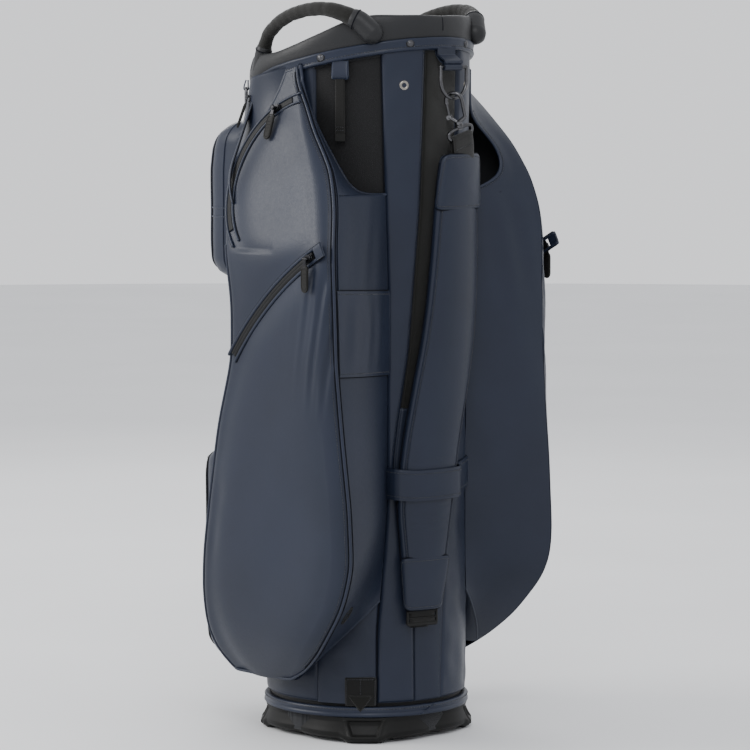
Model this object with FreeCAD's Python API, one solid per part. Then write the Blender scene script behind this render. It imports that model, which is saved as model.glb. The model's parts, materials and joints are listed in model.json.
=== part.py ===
import FreeCAD, Part
import math
import os

# Golf staff (cart) bag. Millimetres, +Z up, floor at z = 0, the tube's foot centred on the origin.
# The spine with the shoulder strap faces -Y, the ball pocket faces +Y, the side pockets are at -X and +X.
# Angles round the tube ("phi") start at the spine (-Y) and grow towards +X.

V = FreeCAD.Vector

# ---------------------------------------------------------------- driving dimensions
SLANT = 0.218              # the mouth drops this much per mm towards the front
MOUTH_Z = 834.0            # mouth plane height on the body axis (top of the trim band)
TRIM_HEIGHT = 13.0
TUBE_WALL = 3.0
TUBE_FOOT_R = 119.0        # round foot of the tube, outside
TUBE_TOP_RX = 123.0        # oval top of the tube, outside
TUBE_TOP_RY = 134.0
TUBE_TOP_Y = 7.0           # the oval's centre stands forward of the axis
TUBE_LOW_Z = 30.0
TUBE_HIGH_Z = 900.0
SKIN = 6.0                 # padded roll panels stand this far off the tube
GAP = 0.3                  # clearance between parts that move against each other
CUFF_RX = 131.0
CUFF_RY = 142.0
CUFF_Y = 8.0
CUFF_WALL = 9.0
CUFF_LOW = 11.0            # cuff height under the handles
CUFF_REAR = 25.0           # cuff height over the spine
CUFF_FRONT = 16.0
BASE_R = 128.0
BASE_HEIGHT = 36.0
BASE_FLAT = 119.0          # half width across the flats of the rounded square base
FOOT_HEIGHT = 6.0
HEM_HEIGHT = 13.0
GRIP_R = 8.5               # half thickness of a carry handle
FOAM = 14.0                # shoulder pad thickness
STRAP_Y = -144.0           # plane in which the strap's hardware hangs
WIRE_R = 2.0               # D-ring wire
RING_BAR_Z = 822.0
RING_DEPTH = 38.0
RING_HALF = 22.0
RING_X = 8.0
PIN_CLEARANCE = 0.08
PULLER_LENGTH = 40.0
PULLER_WIDTH = 11.0
PULLER_THICK = 2.6
SLIDER_LENGTH = 13.0
SLIDER_WIDTH = 9.0
SLIDER_THICK = 4.0
BAIL_R = 1.1
ZIP_WIDTH = 8.0
COOLER_ZIP_WIDTH = 10.0
ZIP_THICK = 1.0

# Side pocket stations: height, outer half width, rear edge y, front edge y (left and right alike)
POCKET_STATIONS = (
    (795.0, 138.0, -30.0, 6.0),
    (778.0, 143.0, -52.0, 14.0),
    (745.0, 153.7, -82.0, 36.0),
    (700.0, 168.3, -112.0, 62.0),
    (655.0, 182.9, -131.0, 55.0),
    (605.0, 199.0, -141.0, 40.0),
    (540.0, 200.0, -143.0, 27.0),
    (470.0, 200.0, -143.0, 27.0),
    (390.0, 198.0, -145.0, 54.0),
    (300.0, 195.0, -152.0, 72.0),
    (230.0, 190.0, -154.0, 86.0),
    (180.0, 184.0, -140.0, 96.0),
    (130.0, 171.0, -98.0, 104.0),
    (95.0, 155.0, -56.0, 100.0),
    (76.0, 142.0, -20.0, 82.0),
)
POCKET_INNER_X = 127.5     # flat back of a side pocket, just outside the tube
POCKET_CHAMFER = 10.0
APPAREL_PLANE = (143.0, 778.0, 0.325)   # outer half width at a height, and its growth per mm down
STITCH_GAP = 0.6            # free edge between panels that are sewn side by side
PANEL_LOW = BASE_HEIGHT + HEM_HEIGHT + STITCH_GAP
PANEL_DROP = -TRIM_HEIGHT - STITCH_GAP
FAR = 260.0                # beyond every surface of the bag
TOP = 960.0                # above every surface of the bag

BASE_WALL = 3.5
BASE_FLOOR_Z = 4.0
BASE_BOSS_R = 46.0         # round boss under the base
CORNERS = (45.0, 135.0, 225.0, 315.0)   # the base's four corners
STAY_PHI = (-150.0, -60.0, 60.0, 150.0)
STAY_DEPTH = (3.6, 5.4)    # the stays lie this far inside the tube's outside
STAY_HEIGHTS = (12.0, 800.0)
RIVET_PHI = (-159, -113, -67, -21, 21, 67, 113, 159)
RIVET_DROP = 5.5
RIVET_R = 2.5
RIVET_HEAD_R = 4.2
EYELET_PHI = (-24.0, 24.0)
EYELET_Z = 800.0

# Dividers: one long bar and two cross bars make six cells
CELL_X = 3.0               # half thickness of the padded divider bars
CELL_Y = (-46.0, 58.0)     # the two cross bars
DIVIDER_TOP = 6.0          # above the mouth plane
DIVIDER_LOW = -16.0
DIVIDER_CLOTH = 0.8        # half thickness

# Right handle: the grip's centre line is the arc through three points
HANDLE_ARC = (V(112, 66, 842), V(118, -22, 891.3), V(103, -86, 868))
FERRULE_SWEEP = 7.0        # degrees of the arc that each end socket takes
FERRULE_R = GRIP_R + 1.2

# Rear gusset of a side pocket
SEAM_PHI = 38.5            # seam between a sleeve and the spine panel
SLEEVE_FLOOR_Z = 420.0
SLEEVE_LEVELS = (104.0, 130.0, 180.0, 230.0, 300.0, 390.0, 470.0, 540.0, 605.0, 655.0, 680.0)
SLEEVE_THICK = 3.2
CART_BAND_Z = (458.0, 558.0)
DRAIN_Z = 152.0
DRAIN_SHARE = 0.78         # share of the gusset's width between the seam and the drain

# Front pockets: name, half width, y from, y to, z from, z to, corner radius
FRONT_POCKETS = (
    ("upper_front_pocket", 92.0, 141.5, 203.0, 555.0, 757.0, 28.0),
    ("ball_pocket", 95.0, 133.0, 213.0, 72.0, 350.0, 28.0),
)

# Zips: right-hand arcs (+X), whose mirror images are the left ones, and three straight zips
COOLER_X = 200.0
COOLER_ARC = (V(COOLER_X, -112.0, 597.0), V(COOLER_X, -38.0, 543.0), V(COOLER_X, 20.0, 479.0))
ARC_LIFT = 0.4             # the curved tapes stand this far outside their arc's plane
VALUABLES_LINE = (V(-131.0, 62.0, 783.5), V(-164.5, 61.0, 711.0))
VALUABLES_OUT = V(-0.72, 0.62, 0.31)
STRAIGHT_ZIPS = (          # name, y, z, x from, x to
    ("upper_front", 203.0, 640.0, -60.0, 60.0),
    ("ball", 213.0, 320.0, -62.0, 62.0),
)
TAPE_ENDS = 12.0           # a straight tape runs on past the slider's travel
EYE_LIFT = 2.4             # a puller's pin stands this far above its slider
PULLER_HALF = 2.4          # half width of a puller's neck and eye
STUD_R = 1.7

# Shoulder strap: height, middle angle, half width
PAD_STATIONS = (
    (722.0, 11.0, 34.5),
    (690.0, 10.2, 38.5),
    (650.0, 9.2, 40.5),
    (600.0, 9.4, 45.0),
    (540.0, 7.6, 47.0),
    (490.0, 4.4, 47.0),
    (440.0, -0.6, 45.5),
    (383.0, -6.2, 43.2),
    (345.0, -9.0, 42.0),
    (286.0, -11.6, 39.5),
    (230.0, -12.4, 32.5),
    (165.0, -14.0, 23.0),
)
PAD_NEAR = 9.0             # the pad's back stands this far off the tube
PAD_FAR = PAD_NEAR + FOAM
PAD_Z = (168.0, 716.0)
UPPER_PATCH_Z = (650.0, 714.0)
LOWER_PATCH_Z = (170.0, 222.0)
KEEPER_Z = (299.0, 337.0)
KEEPER_THICK = 2.4
BUCKLE_Z = 150.0
TAIL_Z = 200.0             # height where the tail webbing is centred under the pad
WEBBING_THICK = 1.8
WEBBING_HALF = 18.0
SWIVEL_RIM = 5.0           # the swivel frame stands out this far beyond the webbing
SWIVEL_BAR = 4.0
TAB_HALF = 15.0            # half width of the D-ring's leather tab
TAB_X = RING_X - 3.0
HOOK_BOW_R = 10.0          # bend radius of the hook's wire
HOOK_WIRE = 2.2
HOOK_LENGTH = 37.0
HOOK_TURN = -62.0          # the hook's plane is turned this far from the D-ring's plane
HOOK_PLAY = 2.6            # free play between the hook's bow and the D-ring's wire
GATE_R = 1.4
GATE_PIN_R = 0.9
STEM_R = 2.0
STEM_HEAD_R = 3.4

# Left shoulder fittings
SIDE_TAB_PHI = -57.5
SIDE_TAB_Z = 812.0
SIDE_TAB_LIFT = 6.5
RING_TAB_AT = V(-112.0, 88.0, 796.0)
TOWEL_HALF = 5.5           # half width and length of the towel ring, on its wire's centre line
TOWEL_LENGTH = 32.0
TOWEL_WIRE = 1.7


# ---------------------------------------------------------------- small helpers
def save(node, shape):
    shape.exportStep("parts/" + node + ".step")


def group(shapes):
    return Part.makeCompound(shapes)


def mirror(shape):
    return shape.mirror(V(0, 0, 0), V(1, 0, 0))


def box(x0, x1, y0, y1, z0, z1):
    return Part.makeBox(x1 - x0, y1 - y0, z1 - z0, V(x0, y0, z0))


def rod(p, q, radius):
    axis = q - p
    return Part.makeCylinder(radius, axis.Length, p, axis)


def polygon(points):
    return Part.makePolygon(list(points) + [points[0]])


def prism(points, direction):
    return Part.Face(polygon(points)).extrude(direction)


def ruled(sections):
    """Closed solid through polygon sections with the same number of corners."""
    return Part.makeLoft([polygon(points) for points in sections], True, True)


def ellipse_wire(rx, ry, cy, z):
    if ry >= rx:
        curve = Part.Ellipse(V(0, cy + ry, z), V(rx, cy, z), V(0, cy, z))
    else:
        curve = Part.Ellipse(V(rx, cy, z), V(0, cy + ry, z), V(0, cy, z))
    return Part.Wire([curve.toShape()])


def oval_prism(rx, ry, cy, z0, z1):
    face = Part.Face(ellipse_wire(rx, ry, cy, z0))
    return face.extrude(V(0, 0, z1 - z0))


def tube_size(z):
    """Half sizes and centre of the tube's outside at a height."""
    t = (z - TUBE_LOW_Z) / (TUBE_HIGH_Z - TUBE_LOW_Z)
    rx = TUBE_FOOT_R + (TUBE_TOP_RX - TUBE_FOOT_R) * t
    ry = TUBE_FOOT_R + (TUBE_TOP_RY - TUBE_FOOT_R) * t
    return rx, ry, TUBE_TOP_Y * t


def tube_solid(grow):
    wires = []
    for z in (TUBE_LOW_Z, TUBE_HIGH_Z):
        rx, ry, cy = tube_size(z)
        wires.append(ellipse_wire(rx + grow, ry + grow + 0.001, cy, z))
    return Part.makeLoft(wires, True, True)


def on_tube(phi, z, grow):
    """Point on the tube's outside, pushed out by grow."""
    rx, ry, cy = tube_size(z)
    a = math.radians(phi)
    return V((rx + grow) * math.sin(a), cy - (ry + grow) * math.cos(a), z)


def below_mouth(offset):
    """Everything under the slanted mouth plane, moved up by offset."""
    far = 400.0
    low = -60.0
    z_rear = MOUTH_Z + SLANT * far + offset
    z_front = MOUTH_Z - SLANT * far + offset
    side = [V(-far, -far, low), V(-far, -far, z_rear), V(-far, far, z_front), V(-far, far, low)]
    return prism(side, V(2 * far, 0, 0))


def mouth_z(y):
    return MOUTH_Z - SLANT * y


def wedge(phi0, phi1, radius, z0, z1):
    """Pie slice round the body axis between two angles."""
    steps = 6
    points = [V(0, 0, z0)]
    for i in range(steps + 1):
        a = math.radians(phi0 + (phi1 - phi0) * i / steps)
        points.append(V(radius * math.sin(a), -radius * math.cos(a), z0))
    return prism(points, V(0, 0, z1 - z0))


def circle_through(p, q, r):
    """Centre, radius and unit normal of the circle through three points."""
    a = q - p
    b = r - p
    n = a.cross(b)
    centre = p + (n.cross(a) * b.Length ** 2 + b.cross(n) * a.Length ** 2) * (0.5 / n.Length ** 2)
    n.normalize()
    return centre, (p - centre).Length, n


# ---------------------------------------------------------------- base and tube
def rounded_square(half, corner, z, height):
    """Upright prism whose plan is a square with round corners."""
    block = box(-half, half, -half, half, z, z + height)
    upright = [e for e in block.Edges if abs(e.Vertexes[0].Z - e.Vertexes[1].Z) > height / 2]
    return block.makeFillet(corner, upright)


def base_shell():
    corner = BASE_FLAT * 0.8
    shell = rounded_square(BASE_FLAT, corner, 3.0, BASE_HEIGHT - 3.0)
    shell = shell.common(Part.makeCylinder(BASE_R, BASE_HEIGHT))
    hollow = Part.makeCylinder(BASE_FLAT - 3.2, BASE_HEIGHT, V(0, 0, BASE_FLOOR_Z + BASE_WALL))
    shell = shell.cut(hollow)
    boss = Part.makeCylinder(BASE_BOSS_R, 3.2)
    shell = shell.fuse(boss).removeSplitter()
    # Shallow recessed frames in the four corner faces
    for angle in CORNERS:
        recess = box(BASE_R - 2.2, BASE_R + 20, -22, 22, 12, 28)
        recess.rotate(V(0, 0, 0), V(0, 0, 1), angle)
        shell = shell.cut(recess)
    # Foot sockets
    for angle in CORNERS:
        socket = foot(GAP / 6)
        socket.rotate(V(0, 0, 0), V(0, 0, 1), angle)
        shell = shell.cut(socket)
    return shell


def foot(grow):
    """One corner foot, on the +X side before it is turned."""
    inner = BASE_R - 30.0
    outer = BASE_R - 3.0
    return box(inner - grow, outer + grow, -21 - grow, 21 + grow, 0, FOOT_HEIGHT + grow)


def base_feet():
    feet = []
    for angle in CORNERS:
        pad = foot(0)
        pad.rotate(V(0, 0, 0), V(0, 0, 1), angle)
        feet.append(pad)
    return group(feet)


def body_tube():
    bottom = BASE_HEIGHT + 1.0
    tube = tube_solid(0).cut(tube_solid(-TUBE_WALL))
    tube = tube.common(below_mouth(0.0))
    return tube.common(box(-FAR, FAR, -FAR, FAR, bottom, TOP))


def frame_stays():
    """Four flat stays that hold the cuff and the base apart, inside the tube's wall."""
    stays = []
    outer, inner = STAY_DEPTH
    for phi in STAY_PHI:
        sections = []
        for z in STAY_HEIGHTS:
            rows = []
            for side, depth in ((-1, inner), (1, inner), (1, outer), (-1, outer)):
                rows.append(on_tube(phi + 3.0 * side, z, -depth))
            sections.append(rows)
        stays.append(ruled(sections))
    return group(stays)


def hem_band():
    outer = Part.makeCylinder(TUBE_FOOT_R + SKIN + 2.5, HEM_HEIGHT, V(0, 0, BASE_HEIGHT + 0.2))
    inner = tube_solid(0.15)
    return outer.cut(inner)


def spine_panel(phi0, phi1):
    """Padded roll panel on the spine, from the hem to the trim."""
    skin = tube_solid(SKIN).cut(tube_solid(0.15))
    skin = skin.common(wedge(phi0, phi1, FAR, PANEL_LOW, TUBE_HIGH_Z))
    return skin.common(below_mouth(PANEL_DROP))


def spine_channel_strip():
    skin = tube_solid(1.8).cut(tube_solid(0.15))
    skin = skin.common(wedge(-11.4, 11.4, FAR, PANEL_LOW, TUBE_HIGH_Z))
    return skin.common(below_mouth(PANEL_DROP))


# ---------------------------------------------------------------- mouth
def cuff_ring(grow, thickness):
    outer = oval_prism(CUFF_RX + grow, CUFF_RY + grow, CUFF_Y, 700, TOP)
    inner = oval_prism(CUFF_RX + grow - thickness, CUFF_RY + grow - thickness, CUFF_Y, 690, TOP + 10)
    return outer.cut(inner)


def top_cuff():
    """Moulded cuff: low under the handles, higher over the spine and in front."""
    ring = cuff_ring(-0.5, CUFF_WALL).cut(below_mouth(0.3))
    low = ring.common(below_mouth(CUFF_LOW))
    rear = ring.common(below_mouth(CUFF_REAR)).common(wedge(-55, 55, FAR, 700, TOP))
    front = ring.common(below_mouth(CUFF_FRONT)).common(wedge(135, 225, FAR, 700, TOP))
    return low.fuse(rear).fuse(front).removeSplitter()


def top_trim_band():
    ring = oval_prism(CUFF_RX + 1.5, CUFF_RY + 1.5, CUFF_Y, 700, TOP).cut(tube_solid(0.4))
    band = ring.common(below_mouth(0.0)).cut(below_mouth(-TRIM_HEIGHT))
    for rivet in rivet_list(RIVET_R + 0.1, 12.0):
        band = band.cut(rivet)
    return band


def rivet_list(radius, depth):
    rivets = []
    for phi in RIVET_PHI:
        a = math.radians(phi)
        out = V(math.sin(a), -math.cos(a), 0)
        x = (CUFF_RX + 1.5) * math.sin(a)
        y = CUFF_Y - (CUFF_RY + 1.5) * math.cos(a)
        p = V(x, y, mouth_z(y) - RIVET_DROP)
        rivets.append(Part.makeCylinder(radius, depth, p - out * (depth - 1.5), out))
    return rivets


def trim_rivets():
    rivets = []
    for pin, head in zip(rivet_list(RIVET_R, 8.0), rivet_list(RIVET_HEAD_R, 1.3)):
        rivets.append(pin.fuse(head.cut(top_trim_band_core())).removeSplitter())
    return group(rivets)


def top_trim_band_core():
    return oval_prism(CUFF_RX + 1.6, CUFF_RY + 1.6, CUFF_Y, 700, TOP)


def divider_profile(half):
    """Cross of one long bar and two cross bars, tall; trimmed to the tube afterwards."""
    bars = box(-half, half, -160, 170, 0, TOP)
    for y in CELL_Y:
        bars = bars.fuse(box(-160, 160, y - half, y + half, 0, TOP))
    return bars


def divider_top():
    """Padded 6-way divider bars just under the cuff's rim."""
    ring = oval_prism(CUFF_RX - CUFF_WALL - 0.8, CUFF_RY - CUFF_WALL - 0.8, CUFF_Y, 700, TOP)
    frame = ring.common(below_mouth(DIVIDER_TOP)).cut(below_mouth(DIVIDER_LOW))
    hub = ring.cut(oval_prism(CUFF_RX - CUFF_WALL - 5.0, CUFF_RY - CUFF_WALL - 5.0, CUFF_Y, 690, TOP + 10))
    hub = hub.common(below_mouth(DIVIDER_TOP)).cut(below_mouth(0.6))
    bars = frame.common(divider_profile(CELL_X * 1.6)).common(tube_solid(-TUBE_WALL - 0.4))
    return bars.fuse(hub.common(tube_solid(-TUBE_WALL - 0.4))).removeSplitter()


def divider_panels():
    """Full-length divider cloths from the bars down to the base."""
    sheet = divider_profile(DIVIDER_CLOTH).common(tube_solid(-TUBE_WALL - 3.2))
    sheet = sheet.common(below_mouth(DIVIDER_LOW - 0.4))
    return sheet.common(box(-FAR, FAR, -FAR, FAR, STAY_HEIGHTS[0], TOP))


# ---------------------------------------------------------------- handles
def handle_bar(radius_of_bar, sweep_in):
    """Round bar bent along one arc, standing over the cuff. sweep_in trims both ends."""
    p, q, r = HANDLE_ARC
    centre, radius, normal = circle_through(p, q, r)
    start = p - centre
    total = math.degrees(start.getAngle(r - centre))
    if (start.cross(r - centre)).dot(normal) < 0:
        total = 360.0 - total
    start.normalize()
    direction = FreeCAD.Rotation(normal, sweep_in).multVec(start)
    at = centre + direction * radius
    circle = Part.Wire([Part.makeCircle(radius_of_bar, at, normal.cross(direction))])
    return Part.Face(circle).revolve(centre, normal, total - 2 * sweep_in)


def handle(cuff):
    """Right carry handle's padded grip."""
    return handle_bar(GRIP_R, FERRULE_SWEEP).cut(cuff)


def handle_ferrules(grip, cuff):
    """Short moulded sockets at both ends of each grip, standing on the cuff."""
    ends = handle_bar(FERRULE_R, 0.0).cut(handle_bar(FERRULE_R + 1.0, FERRULE_SWEEP + 0.1))
    ends = ends.cut(grip).cut(cuff).cut(below_mouth(CUFF_LOW + 0.2))
    pieces = [solid for solid in ends.Solids if solid.Volume > 200]
    return group(pieces + [mirror(solid) for solid in pieces])


# ---------------------------------------------------------------- pockets
def side_pocket():
    """Right side pocket (+X) as a closed solid through its stations."""
    sections = []
    top = POCKET_STATIONS[0][0]
    for z, half, rear, front in POCKET_STATIONS:
        k = SLANT if z == top else 0.0
        inner = POCKET_INNER_X
        ch = POCKET_CHAMFER * min(1.0, (half - inner) / 40.0)
        face_y = 112.0 if z < 760 else 90.0
        rows = [
            (inner, -40.0 if rear < -60 else rear + 18),
            (half - ch, rear),
            (half, rear + ch * 2),
            (half, front - ch * 2),
            (half - ch, front),
            (101.0 if z < 760 else 112.0, face_y),
            (inner, 66.0),
        ]
        sections.append([V(x, y, z - k * y) for x, y in rows])
    return ruled(sections)


def gusset_outer(z):
    """Rear edge of a side pocket at a height, from the stations."""
    rows = POCKET_STATIONS
    for (z1, h1, r1, f1), (z0, h0, r0, f0) in zip(rows[:-1], rows[1:]):
        if z0 <= z <= z1:
            t = (z - z0) / (z1 - z0)
            return h0 + (h1 - h0) * t, r0 + (r1 - r0) * t
    return rows[0][1], rows[0][2]


def sleeve_panel():
    """Right sleeve: a sheet from the spine seam to the pocket's rear edge, with a floor inside."""
    sections = []
    for z in SLEEVE_LEVELS:
        half, rear = gusset_outer(z)
        seam = on_tube(SEAM_PHI, z, 0.6)
        out = V(half - POCKET_CHAMFER - 2.0, rear - 1.0, z)
        sections.append([seam, out, out + V(0, SLEEVE_THICK, 0), seam + V(0, SLEEVE_THICK, 0)])
    tube = tube_solid(0.3)
    sheet = ruled(sections).cut(tube)
    # The lower edge climbs from the pocket towards the spine seam
    climb = prism([V(60, -300, 190), V(60, -300, 60), V(190, -300, 60), V(190, -300, 90)], V(0, 400, 0))
    sheet = sheet.cut(climb)
    half, rear = gusset_outer(SLEEVE_FLOOR_Z)
    corners = [V(84, -112, SLEEVE_FLOOR_Z), V(half - 12, rear + 1, SLEEVE_FLOOR_Z),
               V(POCKET_INNER_X, -44, SLEEVE_FLOOR_Z), V(116, -58, SLEEVE_FLOOR_Z)]
    floor = prism(corners, V(0, 0, SLEEVE_THICK)).cut(tube)
    pocket = side_pocket()
    panel = sheet.fuse(floor).cut(pocket)
    return max(panel.Solids, key=lambda solid: solid.Volume)


def cart_strap_band():
    """Left cart-strap band: a second layer sewn over the sleeve panel."""
    sections = []
    for z in CART_BAND_Z:
        half, rear = gusset_outer(z)
        seam = on_tube(SEAM_PHI + 1.5, z, 0.6)
        out = V(half - POCKET_CHAMFER - 4.0, rear - 1.3, z)
        sections.append([seam + V(0, -0.6, 0), out, out + V(0, -3.0, 0), seam + V(0, -3.6, 0)])
    return mirror(ruled(sections).cut(sleeve_panel()))


def side_drain():
    """Oval moulded grommet low on the left cooler pocket's rear gusset."""
    half, rear = gusset_outer(DRAIN_Z)
    seam = on_tube(SEAM_PHI, DRAIN_Z, 0.6)
    out = V(half - POCKET_CHAMFER - 2.0, rear - 1.0, DRAIN_Z)
    along = out - seam
    normal = V(along.y, -along.x, 0)
    normal.normalize()
    ring = Part.makeCylinder(9.0, 2.2).cut(Part.makeCylinder(4.5, 6.0, V(0, 0, -2)))
    ring.Placement = frame_matrix(seam + along * DRAIN_SHARE + normal * 1.2, V(0, 0, 1), normal)
    ring = ring.cut(sleeve_panel())
    return mirror(max(ring.Solids, key=lambda solid: solid.Volume))


def rounded_pocket(half, y0, y1, z0, z1, corner):
    """Front pocket block with round outer corners."""
    block = box(-half, half, y0, y1, z0, z1)
    outer = [e for e in block.Edges if e.BoundBox.YMin > y1 - 1]
    return block.makeFillet(corner, outer)


# ---------------------------------------------------------------- zips
def annular_tape(p, q, r, width, thick, lift):
    """Flat tape bent along the arc through three points; lift moves it along the arc's axis."""
    centre, radius, normal = circle_through(p, q, r)
    radial = p - centre
    radial.normalize()
    angle = math.degrees((p - centre).getAngle(r - centre))
    corners = []
    for dr, dn in ((-0.5, 0.0), (0.5, 0.0), (0.5, 1.0), (-0.5, 1.0)):
        corners.append(centre + radial * (radius + dr * width) + normal * (lift + dn * thick))
    return Part.Face(polygon(corners)).revolve(centre, normal, angle)


def apparel_point(y, z):
    x0, z0, growth = APPAREL_PLANE
    return V(x0 + growth * (z0 - z), y, z)


APPAREL_ARC = (apparel_point(3.0, 771.0), apparel_point(51.0, 700.0), apparel_point(37.0, 630.0))


def frame_matrix(origin, x_dir, z_dir):
    """Placement whose local z is z_dir and whose local x lies near x_dir."""
    z_axis = V(z_dir)
    z_axis.normalize()
    y_axis = z_axis.cross(x_dir)
    y_axis.normalize()
    x_axis = y_axis.cross(z_axis)
    matrix = FreeCAD.Matrix(
        x_axis.x, y_axis.x, z_axis.x, origin.x,
        x_axis.y, y_axis.y, z_axis.y, origin.y,
        x_axis.z, y_axis.z, z_axis.z, origin.z,
        0, 0, 0, 1)
    return FreeCAD.Placement(matrix)


def slider_shape():
    """Zip slider: body along local x, standing on local z = 0, with a bail across local y."""
    half_l = SLIDER_LENGTH / 2
    half_w = SLIDER_WIDTH / 2
    outline = [V(-half_l, -half_w * 0.6, 0), V(half_l, -half_w, 0), V(half_l, half_w, 0),
               V(-half_l, half_w * 0.6, 0)]
    return prism(outline, V(0, 0, SLIDER_THICK))


def puller_plate():
    """Flat pull tab: narrow neck at the local origin, blade along local x."""
    neck = PULLER_HALF
    blade = PULLER_WIDTH / 2
    tip = PULLER_LENGTH
    half_outline = [(0, neck), (9, neck), (13, blade), (tip - 5, blade), (tip, blade / 2)]
    outline = half_outline + [(x, -y) for x, y in half_outline[::-1]]
    return prism([V(x, y, -PULLER_THICK / 2) for x, y in outline], V(0, 0, PULLER_THICK))


def puller_parts(eye, axis, down, out):
    """A pin with ears (for the slider) and the hanging puller with its eye, at the eye's centre."""
    half = PULLER_HALF
    pin = rod(eye - axis * (half + 1.6), eye + axis * (half + 1.6), BAIL_R)
    ears = []
    for side in (-1, 1):
        foot_at = eye + axis * (side * (half + 0.9))
        ears.append(rod(foot_at, foot_at - out * 2.6, 0.9))
    eye_ring = rod(eye - axis * half, eye + axis * half, BAIL_R + 1.3)
    plate = puller_plate()
    plate.Placement = frame_matrix(eye, down, out)
    bore = rod(eye - axis * 20, eye + axis * 20, BAIL_R + PIN_CLEARANCE)
    puller = plate.fuse(eye_ring).cut(bore).removeSplitter()
    return pin, ears, puller


def stud_puller(at, along, out):
    """Slider with a headed stud, and a puller that turns on the stud and hangs plumb."""
    body = slider_shape()
    body.Placement = frame_matrix(at + out * GAP, along, out)
    base = at + out * (GAP + SLIDER_THICK)
    eye = base + out * (GAP + PULLER_THICK / 2)
    top = base + out * (2 * GAP + PULLER_THICK)
    stud = rod(base - out * 0.5, top + out * 0.5, STUD_R)
    head = rod(top, top + out * 1.2, STUD_R + 1.5)
    slider = body.fuse(stud).fuse(head)
    plate = puller_plate()
    plate.Placement = frame_matrix(eye, plumb(out), out)
    plate = plate.fuse(rod(eye - out * PULLER_THICK / 2, eye + out * PULLER_THICK / 2, STUD_R + 2.2))
    puller = plate.cut(rod(base - out, top + out, STUD_R + PIN_CLEARANCE))
    return slider.removeSplitter(), puller.removeSplitter()


def plumb(out):
    """Straight down, kept in the plane whose normal is out."""
    down = V(0, 0, -1)
    down = down - out * down.dot(out)
    down.normalize()
    return down


def zip_hardware(at, along, out):
    """Slider at a point of the tape, running along a direction, and its hanging puller."""
    place = frame_matrix(at + out * GAP, along, out)
    body = slider_shape()
    body.Placement = place
    down = plumb(out)
    axis = down.cross(out)
    eye = at + out * (GAP + SLIDER_THICK + EYE_LIFT)
    pin, ears, puller = puller_parts(eye, axis, down, out)
    slider = body.fuse(pin)
    for ear in ears:
        slider = slider.fuse(ear)
    return slider.removeSplitter(), puller


def report_joint(name, kind, pos, axis, amount):
    print("JOINT", name, kind, "pos", [round(v, 3) for v in pos], "axis", [round(v, 5) for v in axis],
          "travel", round(amount, 2))


def curved_zip(name, arc, side, lift, stud):
    """Slider and puller at the arc's first point; side is -1 on the left, 1 on the right."""
    points = [V(p.x * side, p.y, p.z) for p in arc]
    centre, radius, normal = circle_through(*points)
    out = V(normal)
    if out.x * side < 0:
        out = out * -1
    start = points[0] + out * (lift + ZIP_THICK)
    radial = points[0] - centre
    along = normal.cross(radial)
    along.normalize()
    slider, puller = (stud_puller if stud else zip_hardware)(start, along, out)
    angle = math.degrees((points[0] - centre).getAngle(points[2] - centre))
    report_joint(name, "hinge", centre, normal, angle)
    report_eye(name, start, out)
    return slider, puller


def report_eye(name, start, out):
    axis = plumb(out).cross(out)
    eye = start + out * (GAP + SLIDER_THICK + EYE_LIFT)
    print("EYE", name, "pos", [round(v, 3) for v in eye], "axis", [round(v, 5) for v in axis],
          "out", [round(v, 5) for v in out])


def straight_zip(name, start, end, out):
    along = end - start
    travel = along.Length
    along.normalize()
    at = start + out * ZIP_THICK
    slider, puller = zip_hardware(at, along, out)
    report_joint(name, "slide", at, along, travel)
    report_eye(name, at, out)
    return slider, puller


def straight_tape(start, end, out, width):
    along = end - start
    along.normalize()
    across = out.cross(along)
    across.normalize()
    side = across * width / 2
    p = start - along * TAPE_ENDS
    q = end + along * TAPE_ENDS
    corners = [p - side, q - side, q + side, p + side]
    return prism(corners, out * ZIP_THICK)


# ---------------------------------------------------------------- shoulder strap
def strap_layer(z0, z1, near, far, shrink):
    """Strap-shaped solid that follows the pad's stations between two heights and two offsets."""
    heights = [z0] + [s[0] for s in PAD_STATIONS if z0 + 4 < s[0] < z1 - 4][::-1] + [z1]
    sections = []
    for z in heights:
        middle, half = pad_at(z)
        half = half - shrink
        reach = math.degrees(half / (TUBE_FOOT_R + 16.0))
        row = []
        for f in (-1.0, -0.5, 0.0, 0.5, 1.0):
            row.append(on_tube(middle + reach * f, z, near))
        for f in (1.0, 0.5, 0.0, -0.5, -1.0):
            row.append(on_tube(middle + reach * f, z, far))
        sections.append(row)
    return ruled(sections)


def pad_at(z):
    rows = PAD_STATIONS
    for (z1, m1, h1), (z0, m0, h0) in zip(rows[:-1], rows[1:]):
        if z0 <= z <= z1:
            t = (z - z0) / (z1 - z0)
            return m0 + (m1 - m0) * t, h0 + (h1 - h0) * t
    return (rows[0][1], rows[0][2]) if z > rows[0][0] else (rows[-1][1], rows[-1][2])


def shoulder_pad():
    return strap_layer(PAD_Z[0], PAD_Z[1], PAD_NEAR, PAD_FAR, 0.0)


def pad_patch(z0, z1):
    """Sewn patch wrapped over the pad's face."""
    return strap_layer(z0, z1, PAD_FAR + 0.2, PAD_FAR + 2.4, 1.5)


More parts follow.
